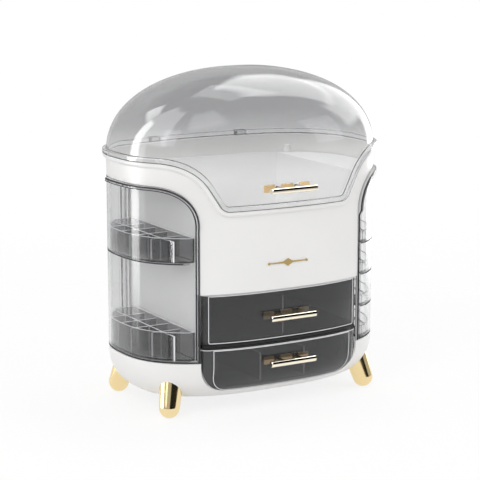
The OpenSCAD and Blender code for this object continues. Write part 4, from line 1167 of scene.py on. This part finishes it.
def floor():
    """A pale disc that keeps the object's shadow. White covers most of it, and it fades out to its rim."""
    n = 96
    t = np.linspace(0, 2 * math.pi, n, endpoint=False)
    v = [(0, 0, FLOOR_Z)] + [(r * math.cos(a), r * math.sin(a), FLOOR_Z) for r in FLOOR_RINGS for a in t]
    f = [(0, 1 + i, 1 + (i + 1) % n) for i in range(n)]
    for o in range(1, 1 + n * (len(FLOOR_RINGS) - 1), n):
        f += [(o + i, o + n + i, o + n + (i + 1) % n, o + (i + 1) % n) for i in range(n)]
    me = bpy.data.meshes.new("floor")
    me.from_pydata(v, [], f)
    ob = bpy.data.objects.new("floor", me)
    bpy.context.scene.collection.objects.link(ob)
    m, nt, plain = material("floor", Base_Color=(.9, .9, .9, 1), Roughness=.9, Specular_IOR_Level=0)
    rays = node(nt, "LightPath")
    seen = calc(nt, "MAXIMUM", rays["Is Camera Ray"], rays["Is Glossy Ray"])
    seen = calc(nt, "MAXIMUM", seen, rays["Is Transmission Ray"])
    white = mix_shader(nt, calc(nt, "MULTIPLY", seen, FLOOR_WHITE), plain.outputs["BSDF"],
                       node(nt, "Emission")["Emission"])
    far = node(nt, "VectorMath", {0: node(nt, "TexCoord")["Object"]}, operation="LENGTH")["Value"]
    surface(nt, mix_shader(nt, ease(nt, far, *FLOOR_FADE), white, node(nt, "BsdfTransparent")["BSDF"]))
    me.materials.append(m)


def world():
    """White behind the object, soft boxes to the left and right for gloss, and a dark room in front."""
    w = bpy.data.worlds.new("studio")
    bpy.context.scene.world = w
    w.use_nodes = True
    nt = w.node_tree
    back = nt.nodes["Background"]
    back.inputs["Color"].default_value = (1, 1, 1, 1)
    rays = node(nt, "LightPath")
    way = node(nt, "SeparateXYZ", {0: node(nt, "TexCoord")["Generated"]})

    def times(a, b):
        return calc(nt, "MULTIPLY", a, b)

    def plus(a, b):
        return calc(nt, "ADD", a, b)

    def rest(a):
        return calc(nt, "SUBTRACT", 1, a)

    def window(az0, az1, el0, el1, soft):
        a = times(ease(nt, azimuth, az0 - soft, az0 + soft), ease(nt, azimuth, az1 + soft, az1 - soft))
        e = times(ease(nt, height, el0 - soft, el0 + soft), ease(nt, height, el1 + soft, el1 - soft))
        return times(a, e)

    def room(dark, light, gain, low):
        return plus(times(ease(nt, height, dark, light), gain), low)

    azimuth = times(calc(nt, "ARCTAN2", way["X"], times(way["Y"], -1)), 180 / math.pi)
    height = times(calc(nt, "ARCSINE", way["Z"]), 180 / math.pi)
    gloss = room(*GLOSS_ROOM)
    for *edges, power in FLAGS:
        gloss = times(gloss, rest(times(window(*edges), power)))
    for *edges, power in BOXES:
        gloss = plus(gloss, times(window(*edges), power))
    clear = calc(nt, "MAXIMUM", room(*CLEAR_ROOM), rays["Is Camera Ray"])
    seen = calc(nt, "MAXIMUM", rays["Is Camera Ray"], rays["Is Transmission Ray"])
    plain = plus(times(rest(rays["Is Glossy Ray"]), SOFT_LIGHT), times(rays["Is Glossy Ray"], gloss))
    nt.links.new(plus(times(rest(seen), plain), times(seen, clear)), back.inputs["Strength"])


def point(ob, place, look):
    """Sets an object down at a place, looking along a direction."""
    ob.location = place
    ob.rotation_mode = "QUATERNION"
    ob.rotation_quaternion = look.to_track_quat("-Z", "Y")
    bpy.context.scene.collection.objects.link(ob)


def lamp(name, place, aim_z, size, watts):
    """A rectangular lamp that looks at a height on the object's axis. Gloss doesn't see it."""
    l = bpy.data.lights.new(name, "AREA")
    l.shape = "RECTANGLE"
    l.size, l.size_y = size
    l.energy = watts
    ob = bpy.data.objects.new(name, l)
    point(ob, place, Vector((0, 0, aim_z)) - Vector(place))
    ob.visible_glossy = False


floor()
world()
lamp("key", (-1.35, -.75, 1.15), AIM, (.7, .9), 9)
lamp("fill", (1.3, -1.1, .8), AIM, (.6, .9), 5)
lamp("top", (.35, .2, 1.6), AIM + .1, (.8, .5), 5)

# the camera, as fitted to the photo
cam = bpy.data.cameras.new("camera")
cam.sensor_width, cam.lens = 36, 129.56
cam.shift_x, cam.shift_y = -.0029, .0074
cam.clip_start, cam.clip_end = .05, 20
turn, dip, dist = math.radians(30.337), math.radians(11.156), 1.8542
look = Vector((math.sin(turn) * math.cos(dip), math.cos(turn) * math.cos(dip), -math.sin(dip)))
ob = bpy.data.objects.new("camera", cam)
point(ob, Vector((0, PY * .001, .16)) - look * dist, look)
bpy.context.scene.camera = ob
bpy.context.scene.view_settings.view_transform = "Standard"
